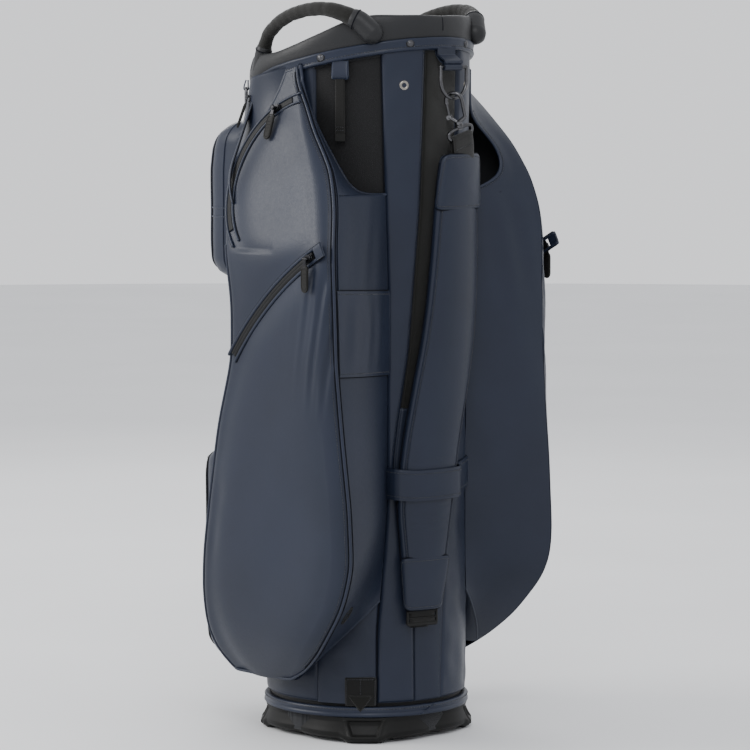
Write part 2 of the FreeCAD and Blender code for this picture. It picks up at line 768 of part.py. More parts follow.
def keeper_band():
    """Wide band sewn to both spine panels, holding the stowed pad."""
    z0, z1 = KEEPER_Z
    over = PAD_FAR + 0.6
    route = ((-37.0, SKIN + 0.4), (-34.6, SKIN + 0.4), (-30.2, over - 3.0), (-28.9, over), (-23.0, over),
             (-15.0, over), (-7.0, over), (1.0, over), (7.6, over), (8.8, over - 3.0), (12.5, SKIN + 0.8),
             (20.0, SKIN + 0.4), (26.0, SKIN + 0.4), (32.0, SKIN + 0.4))
    sections = []
    for z in (z0, z1):
        inner = [on_tube(angle, z, lift) for angle, lift in route]
        outer = [on_tube(angle, z, lift + KEEPER_THICK) for angle, lift in route]
        sections.append(inner + outer[::-1])
    pad = strap_layer(280, 360, PAD_NEAR, PAD_FAR + 0.2, 0)
    return ruled(sections).cut(pad).cut(tube_solid(SKIN + 0.2))


def hook_axis():
    """The D-ring wire's lowest point and the direction from it to the middle of the pad's top."""
    top = V(RING_X, STRAP_Y, RING_BAR_Z - RING_DEPTH)
    low_angle, _ = pad_at(722)
    low = on_tube(low_angle, 722, PAD_NEAR + 5)
    low = V(low.x, STRAP_Y, 722)
    down = low - top
    down.normalize()
    return top, down


def d_ring():
    z0 = RING_BAR_Z
    left = V(RING_X - RING_HALF, STRAP_Y, z0)
    right = V(RING_X + RING_HALF, STRAP_Y, z0)
    bend = RING_DEPTH - RING_HALF
    bar = rod(left, right, WIRE_R)
    legs = [rod(left, left - V(0, 0, bend), WIRE_R), rod(right, right - V(0, 0, bend), WIRE_R)]
    section = Part.Face(Part.Wire([Part.makeCircle(WIRE_R, left - V(0, 0, bend), V(0, 0, 1))]))
    bow = section.revolve(V(RING_X, STRAP_Y, z0 - bend), V(0, -1, 0), 180)
    ring = bar.fuse(legs[0]).fuse(legs[1]).fuse(bow)
    for corner in (left, right):
        ring = ring.fuse(Part.makeSphere(WIRE_R, corner))
    return ring.removeSplitter()


def strap_tab():
    """Folded leather tab: sewn under the trim, with the D-ring's bar in its fold."""
    z0 = RING_BAR_Z
    fold_r = WIRE_R + 2.6
    fold = rod(V(TAB_X - TAB_HALF, STRAP_Y, z0), V(TAB_X + TAB_HALF, STRAP_Y, z0), fold_r)
    top_y = on_tube(3, 838, SKIN).y + 0.4
    side = [V(TAB_X - TAB_HALF, STRAP_Y - fold_r, z0), V(TAB_X - TAB_HALF, STRAP_Y + fold_r, z0),
            V(TAB_X - TAB_HALF, top_y + 3.5, z0 + 24), V(TAB_X - TAB_HALF, top_y - 1.5, z0 + 24)]
    web = prism(side, V(2 * TAB_HALF, 0, 0))
    tab = fold.fuse(web).removeSplitter()
    bore = rod(V(TAB_X - 60, STRAP_Y, z0), V(TAB_X + 60, STRAP_Y, z0), WIRE_R + PIN_CLEARANCE)
    tab = tab.cut(bore).cut(tube_solid(SKIN + 0.3).common(wedge(11.5, 40, FAR, 700, TOP)))
    return tab.cut(tube_solid(2.0)).cut(cuff_ring(8, 30).cut(below_mouth(-TRIM_HEIGHT - 0.4)))


def hook_across():
    """Direction across the hook, in its plane."""
    _, down = hook_axis()
    across = V(1, 0, 0) - down * down.x
    across.normalize()
    return FreeCAD.Rotation(down, -HOOK_TURN).multVec(across)


def hook_local(u, v):
    """Point in the hook's plane: u across, v down the tilted axis from the bow's top."""
    top, down = hook_axis()
    origin = top - down * (WIRE_R + HOOK_WIRE + HOOK_PLAY)
    return origin + hook_across() * u + down * v


def hook_normal():
    """Direction square to the hook's plane."""
    _, down = hook_axis()
    return down.cross(hook_across())


def gate_pivot():
    return hook_local(-HOOK_BOW_R, HOOK_LENGTH - 8)


def gate_shape(grow):
    """Sprung gate from its pivot eye up to the hook's nose."""
    pivot = gate_pivot()
    normal = hook_normal()
    half = 1.5 + grow
    tip = hook_local(-HOOK_BOW_R, HOOK_BOW_R + 3.6 - grow)
    eye = rod(pivot - normal * half, pivot + normal * half, 2.4 + grow)
    return eye.fuse(rod(pivot, tip, GATE_R + grow))


def hook_gate():
    pivot = gate_pivot()
    reach = hook_normal() * 6
    bore = rod(pivot - reach, pivot + reach, GATE_PIN_R + PIN_CLEARANCE)
    return gate_shape(0.0).cut(bore)


def hook_body():
    """Snap hook: a bow over the D-ring, a long back, a short nose, gate ears and a swivel stem."""
    _, down = hook_axis()
    normal = hook_normal()
    r = HOOK_BOW_R
    centre = hook_local(0, r)
    start = hook_local(r, r)
    section = Part.Face(Part.Wire([Part.makeCircle(HOOK_WIRE, start, down)]))
    bow = section.revolve(centre, normal, 180)
    if (bow.CenterOfMass - centre).dot(down) > 0:
        bow = section.revolve(centre, normal * -1, 180)
    low = HOOK_LENGTH
    pivot = gate_pivot()
    pieces = [
        rod(start, hook_local(r, low - 6), HOOK_WIRE),
        Part.makeSphere(HOOK_WIRE, hook_local(r, low - 6)),
        rod(hook_local(r, low - 6), hook_local(0, low), HOOK_WIRE),
        rod(hook_local(-r, r), hook_local(-r, r + 3), HOOK_WIRE),
        rod(hook_local(0, low - 1.5), hook_local(0, low + 9.0), STEM_R),
        rod(hook_local(0, low + 7.2), hook_local(0, low + 9.0), STEM_HEAD_R),
        rod(hook_local(0, low - 1.5), hook_local(0, low + 2.2), 4.4),
    ]
    for side in (-1, 1):
        plate = normal * (side * 2.4)
        pieces.append(rod(pivot + normal * (side * 1.9), pivot + normal * (side * 3.1), 2.9))
        pieces.append(rod(pivot + plate, hook_local(-1.0, low - 0.5) + plate * 0.6, 1.3))
    pin = rod(pivot - normal * 3.0, pivot + normal * 3.0, GATE_PIN_R)
    hook = bow
    for piece in pieces:
        hook = hook.fuse(piece)
    hook = hook.cut(gate_shape(GAP)).fuse(pin)
    return max(hook.Solids, key=lambda solid: solid.Volume)


def hook_swivel():
    """Frame that the webbing goes through, turning on the hook's stem."""
    _, down = hook_axis()
    place = frame_matrix(hook_local(0, HOOK_LENGTH + 3.0), V(1, 0, 0), down)
    half = WEBBING_HALF + SWIVEL_RIM
    outer = box(-half, half, -3.5, 3.5, 0, 17.5)
    window = box(SWIVEL_BAR - half, half - SWIVEL_BAR, -8, 8, 7.5, 14.0)
    chamber = Part.makeCylinder(STEM_HEAD_R + 0.4, 2.8, V(0, 0, 3.7))
    bore = Part.makeCylinder(STEM_R + PIN_CLEARANCE, 9, V(0, 0, -4))
    frame = outer.cut(window).cut(bore).cut(chamber)
    frame.Placement = place
    return frame


def strap_webbing_upper():
    """Webbing folded round the swivel frame's bar and sewn under the pad's top patch."""
    _, down = hook_axis()
    place = frame_matrix(hook_local(0, HOOK_LENGTH + 3.0), V(1, 0, 0), down)
    half = WEBBING_HALF
    fold = box(-half, half, -5.8, 5.8, 7.9, 40.0)
    inside = box(-half - 1, half + 1, -3.8, 3.8, 13.6, 17.9)
    slot = box(-half - 1, half + 1, -3.8, 3.8, 17.0, 24.0)
    web = fold.cut(inside).cut(slot)
    web.Placement = place
    pad = strap_layer(600, 760, PAD_NEAR - 3, PAD_FAR + 3, -4)
    return web.cut(pad.common(box(-FAR, FAR, -FAR, 0, 0, PAD_Z[1] + 0.4)))


def strap_buckle():
    """Three-bar slider at the pad's lower end."""
    middle, _ = pad_at(BUCKLE_Z)
    at = on_tube(middle, BUCKLE_Z, PAD_NEAR + 7)
    out = on_tube(middle, BUCKLE_Z, 100) - on_tube(middle, BUCKLE_Z, 0)
    place = frame_matrix(at, V(1, 0, 0), out)
    frame = box(-22, 22, -9, 9, -2.0, 2.0)
    for y in (-5.2, 1.8):
        frame = frame.cut(box(-17.5, 17.5, y, y + 3.4, -4, 4))
    frame.Placement = place
    return frame


def strap_webbing_lower():
    """Webbing from the buckle back up behind the pad to its seam on the spine."""
    middle, _ = pad_at(TAIL_Z)
    sections = []
    for z, near in ((141.0, SKIN + 3.0), (160.0, SKIN + 0.8), (250.0, SKIN + 0.5)):
        row = []
        for f in (-1.0, 0.0, 1.0):
            row.append(on_tube(middle + 5.6 * f, z, near))
        for f in (1.0, 0.0, -1.0):
            row.append(on_tube(middle + 5.6 * f, z, near + WEBBING_THICK))
        sections.append(row)
    return ruled(sections).cut(strap_buckle())


def anchor_patch():
    """Black webbing patch low on the tube, left of the spine, for a cart hook."""
    skin = tube_solid(SKIN + 2.2).cut(tube_solid(0.15))
    return skin.common(wedge(-53.5, -39.6, FAR, 51, 84))


# ---------------------------------------------------------------- small fittings
def side_tab_place():
    """Frame at the left accessory loop: local x down the bag, local z along the loop's bar."""
    p = on_tube(SIDE_TAB_PHI, SIDE_TAB_Z, SIDE_TAB_LIFT)
    a = math.radians(SIDE_TAB_PHI)
    return frame_matrix(p, V(0, 0, -1), V(math.cos(a), math.sin(a), 0))


def accessory_tab():
    """Leather loop under the trim on the left shoulder."""
    loop = Part.makeCylinder(5.4, 20.0, V(0, 0, -10))
    loop = loop.cut(Part.makeCylinder(3.6, 24.0, V(0, 0, -12)))
    loop = loop.cut(box(0.0, 8.0, -8, 8, -6.6, 6.6))
    loop.Placement = side_tab_place()
    return loop


def accessory_strap():
    """Hanging webbing strap with a sewn tip, looped through the tab."""
    bar = Part.makeCylinder(3.5, 12.0, V(0, 0, -6))
    core = Part.makeCylinder(1.7, 16.0, V(0, 0, -8))
    tail = box(3.0, 78.0, -1.3, 1.3, -6.0, 6.0)
    tip = box(72.0, 80.0, -2.2, 2.2, -6.6, 6.6)
    strap = bar.fuse(tail).fuse(tip).cut(core).removeSplitter()
    strap.Placement = side_tab_place()
    return strap


def towel_ring_place():
    """Frame at the towel ring's bar: local x down, local z along the bar."""
    out = V(-0.8, 0.6, 0)
    return frame_matrix(RING_TAB_AT + out * 6.0, V(0, 0, -1), V(0.6, 0.8, 0))


def towel_ring():
    """Long oval wire ring."""
    half = TOWEL_HALF
    length = TOWEL_LENGTH
    wire = TOWEL_WIRE
    bars = [rod(V(0, 0, -half), V(length, 0, -half), wire), rod(V(0, 0, half), V(length, 0, half), wire)]
    ends = [rod(V(0, 0, -half), V(0, 0, half), wire), rod(V(length, 0, -half), V(length, 0, half), wire)]
    ring = bars[0]
    for piece in bars[1:] + ends:
        ring = ring.fuse(piece)
    for x in (0, length):
        for z in (-half, half):
            ring = ring.fuse(Part.makeSphere(wire, V(x, 0, z)))
    ring = ring.removeSplitter()
    ring.Placement = towel_ring_place()
    return ring


def towel_ring_tab():
    """Small leather tab round the towel ring's top bar, sewn to the left shoulder."""
    fold = Part.makeCylinder(4.2, 6.6, V(0, 0, -3.3))
    web = box(-9.0, 0.0, 0.6, 4.2, -3.3, 3.3)
    tab = fold.fuse(web).cut(Part.makeCylinder(TOWEL_WIRE + PIN_CLEARANCE, 20, V(0, 0, -10)))
    tab.Placement = towel_ring_place()
    return tab


def eyelets():
    rings = []
    for phi in EYELET_PHI:
        p = on_tube(phi, EYELET_Z, SKIN + 0.3)
        out = on_tube(phi, EYELET_Z, 100) - on_tube(phi, EYELET_Z, 0)
        ring = Part.makeCylinder(5.5, 1.6).cut(Part.makeCylinder(2.8, 4.0, V(0, 0, -1)))
        ring.Placement = frame_matrix(p + out * (0.3 / out.Length), V(0, 0, 1), out)
        rings.append(ring)
    return group(rings)


# ---------------------------------------------------------------- assembly
def save_zips():
    """Tapes, sliders and pullers of all seven zips."""
    tapes = {"right": [], "left": [], "front": []}
    for word, side in (("right", 1), ("left", -1)):
        for name, arc, width in (("apparel", APPAREL_ARC, ZIP_WIDTH), ("cooler", COOLER_ARC, COOLER_ZIP_WIDTH)):
            label = word + "_" + name
            slider, puller = curved_zip(label, arc, side, ARC_LIFT, name == "apparel")
            save(label + "_slider", slider)
            save(label + "_puller", puller)
            tape = arc_tape(arc, width, ARC_LIFT)
            tapes[word].append(tape if side > 0 else mirror(tape))
    start, end = VALUABLES_LINE
    along = end - start
    along.normalize()
    out = VALUABLES_OUT - along * VALUABLES_OUT.dot(along)
    out.normalize()
    tapes["left"].append(save_straight_zip("left_valuables", start, end, out))
    for name, y, z, x0, x1 in STRAIGHT_ZIPS:
        tapes["front"].append(save_straight_zip(name, V(x0, y, z), V(x1, y, z), V(0, 1, 0)))
    for word, pieces in tapes.items():
        save(word + "_zip_tapes", group(pieces))


def save_straight_zip(name, start, end, out):
    """Saves a straight zip's slider and puller, and gives back its tape."""
    slider, puller = straight_zip(name, start, end, out)
    save(name + "_slider", slider)
    save(name + "_puller", puller)
    return straight_tape(start, end, out, ZIP_WIDTH)


def arc_tape(arc, width, lift):
    """Right-hand tape of an arc, its outer face lift + ZIP_THICK outside the arc's plane."""
    points = list(arc)
    centre, radius, normal = circle_through(*points)
    if normal.x < 0:
        points = points[::-1]
    return annular_tape(points[0], points[1], points[2], width, ZIP_THICK, lift)


def report_strap_joints():
    _, down = hook_axis()
    report_joint("d_ring", "hinge", V(RING_X, STRAP_Y, RING_BAR_Z), V(1, 0, 0), 0)
    report_joint("hook", "hinge", hook_local(0, HOOK_LENGTH), down, 0)
    report_joint("gate", "hinge", gate_pivot(), hook_normal(), 0)
    for name, place in (("accessory", side_tab_place()), ("towel", towel_ring_place())):
        report_joint(name, "hinge", place.Base, place.Rotation.multVec(V(0, 0, 1)), 0)


def build():
    os.makedirs("parts", exist_ok=True)
    report_strap_joints()
    save("base_shell", base_shell())
    save("base_feet", base_feet())
    save("body_tube", body_tube())
    save("frame_stays", frame_stays())
    save("hem_band", hem_band())
    save("spine_panel_left", spine_panel(-37.5, -11.8))
    save("spine_panel_right", spine_panel(11.8, 37.5))
    save("spine_channel_strip", spine_channel_strip())
    save("top_cuff", top_cuff())
    save("top_trim_band", top_trim_band())
    save("trim_rivets", trim_rivets())
    save("divider_top", divider_top())
    save("divider_panels", divider_panels())
    cuff = top_cuff()
    grip = handle(cuff)
    save("right_handle", grip)
    save("left_handle", mirror(grip))
    save("handle_ferrules", handle_ferrules(grip, cuff))
    pocket = side_pocket()
    save("right_side_pocket", pocket)
    save("left_side_pocket", mirror(pocket))
    sleeve = sleeve_panel()
    save("right_sleeve_panel", sleeve)
    save("left_sleeve_panel", mirror(sleeve))
    save("left_cart_strap_band", cart_strap_band())
    save("cooler_drain", side_drain())
    for name, half, y0, y1, z0, z1, corner in FRONT_POCKETS:
        save(name, rounded_pocket(half, y0, y1, z0, z1, corner))
    save_zips()
    save("shoulder_pad", shoulder_pad())
    save("pad_patch_upper", pad_patch(*UPPER_PATCH_Z))
    save("pad_patch_lower", pad_patch(*LOWER_PATCH_Z))
    save("keeper_band", keeper_band())
    save("d_ring", d_ring())
    save("strap_tab", strap_tab())
    save("hook_body", hook_body())
    save("hook_gate", hook_gate())
    save("hook_swivel", hook_swivel())
    save("strap_webbing_upper", strap_webbing_upper())
    save("strap_buckle", strap_buckle())
    save("strap_webbing_lower", strap_webbing_lower())
    save("anchor_patch", anchor_patch())
    save("accessory_tab", accessory_tab())
    save("accessory_strap", accessory_strap())
    save("towel_ring", towel_ring())
    save("towel_ring_tab", towel_ring_tab())
    save("eyelets", eyelets())


if __name__ == "__main__":
    build()
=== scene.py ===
import json
import math

import bpy
import numpy as np
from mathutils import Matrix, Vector


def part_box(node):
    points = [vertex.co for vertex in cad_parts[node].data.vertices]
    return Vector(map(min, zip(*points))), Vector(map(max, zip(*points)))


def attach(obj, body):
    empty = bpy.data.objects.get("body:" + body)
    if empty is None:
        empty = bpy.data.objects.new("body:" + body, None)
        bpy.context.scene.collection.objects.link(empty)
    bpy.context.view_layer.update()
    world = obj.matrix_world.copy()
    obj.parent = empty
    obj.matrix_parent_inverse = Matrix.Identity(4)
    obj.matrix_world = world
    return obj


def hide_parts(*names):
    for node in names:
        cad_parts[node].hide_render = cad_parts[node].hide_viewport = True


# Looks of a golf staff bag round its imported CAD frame. Helpers work in millimetres and hand
# Blender metres. Angles round the tube ("phi") start at the spine (-Y) and grow towards +X.

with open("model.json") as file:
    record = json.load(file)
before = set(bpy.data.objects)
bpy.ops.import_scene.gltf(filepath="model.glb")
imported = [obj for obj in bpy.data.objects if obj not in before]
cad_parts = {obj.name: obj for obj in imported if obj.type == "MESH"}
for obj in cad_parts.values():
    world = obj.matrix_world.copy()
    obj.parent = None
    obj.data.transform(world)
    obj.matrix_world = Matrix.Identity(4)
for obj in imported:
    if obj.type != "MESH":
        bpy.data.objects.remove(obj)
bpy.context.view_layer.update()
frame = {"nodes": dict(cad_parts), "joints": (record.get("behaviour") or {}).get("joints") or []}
scene = bpy.context.scene
JOINTS = {joint["name"]: joint for joint in frame["joints"]}
MM = 0.001
DOWN = np.array([0, 0, -1.0])
UP = np.array([0, 0, 1.0])

# ---------------------------------------------------------------- the frame's measures and what follows
SLANT = 0.218
MOUTH_Z = 834.0
TRIM_HEIGHT = 13.0
CUFF_RX, CUFF_RY, CUFF_Y = 131.0, 142.0, 8.0
HEM_Z, HEM_HEIGHT = 36.2, 13.0
PAD_NEAR, PAD_FAR = 9.0, 23.0            # the pad's two faces above the tube
PAD_MID = (PAD_NEAR + PAD_FAR) / 2
PAD_RADIUS = 135.0                       # radius on which the pad's width is measured
POCKET_INNER_X = 127.5
POCKET_LOW, POCKET_TOP = 76.0, 822.0     # heights between which the side pockets are drawn
GUSSET_LOW, OPENING_LOW = 95.0, 669.0    # rear gusset's start, and the hand opening's lower end
FOOT_RADIUS = 112.0                      # distance of the foot pads from the axis
WEBBING_HALF, WEBBING_THICK = 17.6, 1.8  # drawn a little narrower than its CAD node
TRIM_STRETCH = 1.12                      # the soft trim band is a little taller than its drawn profile
SKIN_LOW = HEM_Z + HEM_HEIGHT - 1.0      # the skins start inside the hem
SKIN_DROP = TRIM_HEIGHT - 1.0            # and end under the trim band
ZIP_THICK = 1.0
GAP = 0.3
SLIDER_THICK = 4.0
# Side pocket: height, half width, rear edge and front edge
POCKET_STATIONS = (
    (822.0, 131.0, -22.0, -1.0),
    (795.0, 138.0, -30.0, 6.0),
    (778.0, 143.0, -52.0, 14.0),
    (745.0, 153.7, -82.0, 36.0),
    (700.0, 168.3, -112.0, 62.0),
    (655.0, 182.9, -131.0, 55.0),
    (605.0, 199.0, -141.0, 40.0),
    (540.0, 200.0, -143.0, 27.0),
    (470.0, 200.0, -143.0, 27.0),
    (390.0, 197.5, -145.0, 54.0),
    (300.0, 196.5, -152.0, 72.0),
    (230.0, 194.0, -154.0, 86.0),
    (180.0, 187.0, -140.0, 96.0),
    (130.0, 173.0, -98.0, 104.0),
    (95.0, 155.0, -56.0, 100.0),
    (76.0, 142.0, -20.0, 82.0),
)
# Shoulder pad: height, angle of its middle line, half width
PAD_STATIONS = (
    (722.0, 11.0, 34.5),
    (690.0, 10.2, 38.5),
    (650.0, 9.2, 40.5),
    (600.0, 9.4, 45.0),
    (540.0, 7.6, 47.0),
    (490.0, 4.4, 47.0),
    (440.0, -0.6, 45.5),
    (383.0, -6.2, 43.2),
    (345.0, -9.0, 42.0),
    (286.0, -11.6, 39.5),
    (230.0, -12.4, 32.5),
    (165.0, -14.0, 23.0),
)
COOLER_ARC = ((200.0, -112.0, 597.0), (200.0, -38.0, 543.0), (200.0, 20.0, 479.0))
APPAREL_ARC = tuple((143.0 + 0.325 * (778.0 - z), y, z) for y,
                    z in ((3.0, 771.0), (51.0, 700.0), (37.0, 630.0)))
# The same arcs as circles in (y, z): centre and radius
COOLER_CIRCLE = ((-331.0, 219.2), 436.7)
APPAREL_CIRCLE = ((-58.1, 683.5), 106.0)
VALUABLES_LINE = ((-131.0, 62.0, 783.5), (-164.5, 61.0, 711.0))
# Front zips: name, y, z, half the tape's length, and where the slider rests along x
FRONT_ZIPS = (("upper_front", 203.0, 640.0, 72.0, -60.0), ("ball", 213.0, 320.0, 74.0, -62.0))


# ---------------------------------------------------------------- materials
def start_material(name, color, rough, metal=0.0):
    material = bpy.data.materials.new(name)
    material.use_nodes = True
    tree = material.node_tree
    shader = tree.nodes["Principled BSDF"]
    shader.inputs["Base Color"].default_value = (*color, 1.0)
    shader.inputs["Roughness"].default_value = rough
    shader.inputs["Metallic"].default_value = metal
    if metal == 0.0:
        shader.inputs["Specular IOR Level"].default_value = 0.18
    material.diffuse_color = (*color, 1.0)
    return material, tree, shader


def add_node(tree, kind, **values):
    node = tree.nodes.new(kind)
    for key, value in values.items():
        if key in node.inputs:
            node.inputs[key].default_value = value
        else:
            setattr(node, key, value)
    return node


def scaled(color, factor):
    return tuple(min(1.0, c * factor) for c in color) + (1.0,)


def tone(tree, source, low, high, a, b):
    """Colour ramp between two colours, from low to high of a factor."""
    ramp = tree.nodes.new("ShaderNodeValToRGB")
    ramp.color_ramp.elements[0].position = low
    ramp.color_ramp.elements[1].position = high
    ramp.color_ramp.elements[0].color = a
    ramp.color_ramp.elements[1].color = b
    tree.links.new(source, ramp.inputs["Fac"])
    return ramp.outputs["Color"]


def mixed(tree, kind, fac, a, b):
    mix = tree.nodes.new("ShaderNodeMix")
    mix.data_type = "RGBA"
    mix.blend_type = kind
    if isinstance(fac, float):
        mix.inputs[0].default_value = fac
    else:
        tree.links.new(fac, mix.inputs[0])
    for socket, value in ((mix.inputs[6], a), (mix.inputs[7], b)):
        if isinstance(value, tuple):
            socket.default_value = value
        else:
            tree.links.new(value, socket)
    return mix.outputs[2]


def bumped(tree, shader, height, strength, distance):
    bump = add_node(tree, "ShaderNodeBump", Strength=strength, Distance=distance)
    tree.links.new(height, bump.inputs["Height"])
    tree.links.new(bump.outputs["Normal"], shader.inputs["Normal"])


def math_node(tree, operation, a, b):
    node = tree.nodes.new("ShaderNodeMath")
    node.operation = operation
    for socket, value in ((node.inputs[0], a), (node.inputs[1], b)):
        if isinstance(value, (int, float)):
            socket.default_value = value
        else:
            tree.links.new(value, socket)
    return node.outputs[0]


def feed_object(tree, *nodes):
    """Gives texture nodes the object's own coordinates."""
    coord = tree.nodes.new("ShaderNodeTexCoord")
    for node in nodes:
        tree.links.new(coord.outputs["Object"], node.inputs["Vector"])


def worn_edges(tree, base, color, reach, share, gain):
    """Lightens the colour where edges stand out."""
    geometry = tree.nodes.new("ShaderNodeNewGeometry")
    edge = tone(tree, geometry.outputs["Pointiness"], *reach, (0, 0, 0, 1), (share, share, share, 1))
    return mixed(tree, "MIX", edge, base, scaled(color, gain))


def uneven_gloss(tree, shader, source, low, high):
    gloss = tree.nodes.new("ShaderNodeMapRange")
    gloss.inputs["To Min"].default_value = low
    gloss.inputs["To Max"].default_value = high
    tree.links.new(source, gloss.inputs["Value"])
    tree.links.new(gloss.outputs["Result"], shader.inputs["Roughness"])


def leather(name, color, rough, cell=1100.0, strength=0.35):
    """Coated leather: small pebble grain, slow colour drift, lighter rubbed edges."""
    material, tree, shader = start_material(name, color, rough)
    grain = add_node(tree, "ShaderNodeTexVoronoi", Scale=cell)
    grain.feature = "SMOOTH_F1"
    soft = add_node(tree, "ShaderNodeTexNoise", Scale=cell * 0.24, Detail=3.0, Roughness=0.55)
    drift = add_node(tree, "ShaderNodeTexNoise", Scale=5.0, Detail=4.0, Roughness=0.6)
    feed_object(tree, grain, soft, drift)
    pores = math_node(tree, "MULTIPLY", soft.outputs["Fac"], 0.8)
    bumped(tree, shader, math_node(tree, "ADD", grain.outputs["Distance"], pores), strength, 0.00022)
    base = tone(tree, drift.outputs["Fac"], 0.3, 0.7, scaled(color, 0.84), scaled(color, 1.16))
    shade = tone(tree, grain.outputs["Distance"], 0.0, 0.9, (1, 1, 1, 1), (0.9, 0.9, 0.9, 1))
    base = mixed(tree, "MULTIPLY", 0.6, base, shade)
    base = worn_edges(tree, base, color, (0.53, 0.62), 0.25, 2.0)
    tree.links.new(base, shader.inputs["Base Color"])
    uneven_gloss(tree, shader, soft.outputs["Fac"], rough - 0.07, rough + 0.08)
    shader.inputs["Specular IOR Level"].default_value = 0.27
    return material


def textured(name, color, cell=520.0, rough=0.6):
    """Coarse honeycomb-grained dark fabric."""
    material, tree, shader = start_material(name, color, rough)
    cells = add_node(tree, "ShaderNodeTexVoronoi", Scale=cell)
    cells.feature = "DISTANCE_TO_EDGE"
    speck = add_node(tree, "ShaderNodeTexNoise", Scale=cell * 0.8, Detail=2.0)
    feed_object(tree, cells, speck)
    bumped(tree, shader, cells.outputs["Distance"], 0.7, 0.0006)
    base = tone(tree, cells.outputs["Distance"], 0.0, 0.35, scaled(color, 0.55), scaled(color, 1.5))
    dots = tone(tree, speck.outputs["Fac"], 0.35, 0.75, (0.75, 0.75, 0.75, 1), (1, 1, 1, 1))
    tree.links.new(mixed(tree, "MULTIPLY", 0.8, base, dots), shader.inputs["Base Color"])
    shader.inputs["Sheen Weight"].default_value = 0.15
    return material


def woven(name, color, pitch=1.6, rough=0.75, uv=True, sheen=0.2):
    """Tight webbing or cloth: ribs along the strap crossed by a diagonal weave."""
    material, tree, shader = start_material(name, color, rough)
    coord = tree.nodes.new("ShaderNodeTexCoord")
    source = coord.outputs["UV"] if uv else coord.outputs["Object"]
    scale = 1.0 / (pitch * MM) / 6.2832
    ribs = add_node(tree, "ShaderNodeTexWave", Scale=scale * 3.14)
    ribs.bands_direction = "X"
    cross = add_node(tree, "ShaderNodeTexWave", Scale=scale * 3.14)
    cross.bands_direction = "DIAGONAL" if uv else "Z"
    fuzz = add_node(tree, "ShaderNodeTexNoise", Scale=900.0, Detail=2.0)
    tree.links.new(source, ribs.inputs["Vector"])
    tree.links.new(source, cross.inputs["Vector"])
    tree.links.new(coord.outputs["Object"], fuzz.inputs["Vector"])
    weave = math_node(tree, "MULTIPLY", ribs.outputs["Fac"], cross.outputs["Fac"])
    height = math_node(tree, "ADD", weave, math_node(tree, "MULTIPLY", fuzz.outputs["Fac"], 0.3))
    bumped(tree, shader, height, 0.6, 0.0005)
    base = tone(tree, weave, 0.0, 0.8, scaled(color, 0.6), scaled(color, 1.45))
    dust = tone(tree, fuzz.outputs["Fac"], 0.3, 0.8, (0.8, 0.8, 0.8, 1), (1, 1, 1, 1))
    tree.links.new(mixed(tree, "MULTIPLY", 0.7, base, dust), shader.inputs["Base Color"])
    shader.inputs["Sheen Weight"].default_value = sheen
    return material


def moulded(name, color, rough, cell=1600.0):
    """Moulded plastic or rubber with a fine spark-eroded grain and scuffed edges."""
    material, tree, shader = start_material(name, color, rough)
    grain = add_node(tree, "ShaderNodeTexNoise", Scale=cell, Detail=3.0)
    drift = add_node(tree, "ShaderNodeTexNoise", Scale=14.0, Detail=5.0)
    feed_object(tree, grain, drift)
    bumped(tree, shader, grain.outputs["Fac"], 0.35, 0.0002)
    base = tone(tree, drift.outputs["Fac"], 0.3, 0.75, scaled(color, 0.8), scaled(color, 1.3))
    base = worn_edges(tree, base, color, (0.52, 0.6), 0.35, 2.6)
    tree.links.new(base, shader.inputs["Base Color"])
    uneven_gloss(tree, shader, drift.outputs["Fac"], rough - 0.1, rough + 0.12)
    return material


def metal(name, color, rough):
    """Plated metal with fine scratches and brighter worn edges."""
    material, tree, shader = start_material(name, color, rough, 1.0)
    scratch = add_node(tree, "ShaderNodeTexNoise", Scale=700.0, Detail=4.0, Distortion=2.0)
    cloud = add_node(tree, "ShaderNodeTexNoise", Scale=60.0, Detail=3.0)
    feed_object(tree, scratch, cloud)
    bumped(tree, shader, scratch.outputs["Fac"], 0.12, 0.0001)
    base = tone(tree, cloud.outputs["Fac"], 0.3, 0.7, scaled(color, 0.82), scaled(color, 1.15))
    base = worn_edges(tree, base, color, (0.52, 0.62), 0.5, 2.2)
    tree.links.new(base, shader.inputs["Base Color"])
    uneven_gloss(tree, shader, scratch.outputs["Fac"], rough - 0.08, rough + 0.14)
    return material


NAVY_COLOR = (0.0120, 0.0165, 0.0310)
NAVY = leather("navy_leather", NAVY_COLOR, 0.40)
NAVY_SOFT = leather("navy_leather_soft", scaled(NAVY_COLOR, 0.94)[:3], 0.46, cell=1000.0)
NAVY_EDGE = leather("navy_binding", scaled(NAVY_COLOR, 1.1)[:3], 0.38, cell=1400.0, strength=0.2)
CUFF_LEATHER = leather("cuff_leather", (0.0150, 0.0155, 0.0170), 0.46, cell=620.0, strength=0.6)
SIDE_FABRIC = textured("side_fabric", (0.0070, 0.0070, 0.0078))
GRIP_CLOTH = textured("grip_neoprene", (0.0095, 0.0092, 0.0078), cell=900.0, rough=0.72)
WEBBING = woven("black_webbing", (0.0060, 0.0058, 0.0052))
WEBBING_SOLID = woven("black_webbing_solid", (0.0045, 0.0044, 0.0040), uv=False)
OLIVE_CLOTH = woven("olive_black_cloth", (0.0085, 0.0085, 0.0070), pitch=1.2, rough=0.85)
LINING = woven("lining_cloth", (0.016, 0.017, 0.020), pitch=1.0, rough=0.9, uv=False)
TAPE_RUBBER = moulded("zip_tape_rubber", (0.0055, 0.0058, 0.0065), 0.46, cell=900.0)
THREAD = woven("thread", (0.010, 0.013, 0.022), pitch=0.5, rough=0.6, uv=False, sheen=0.3)
# Near-black material that paints shadow into seam grooves, under edges and into the eyelet holes
SEAM_DARK = woven("seam_shadow_thread", (0.004, 0.005, 0.009), pitch=0.5, rough=0.9, uv=False, sheen=0.0)
BLACK_MOULD = moulded("black_mould", (0.0075, 0.0075, 0.0072), 0.48)
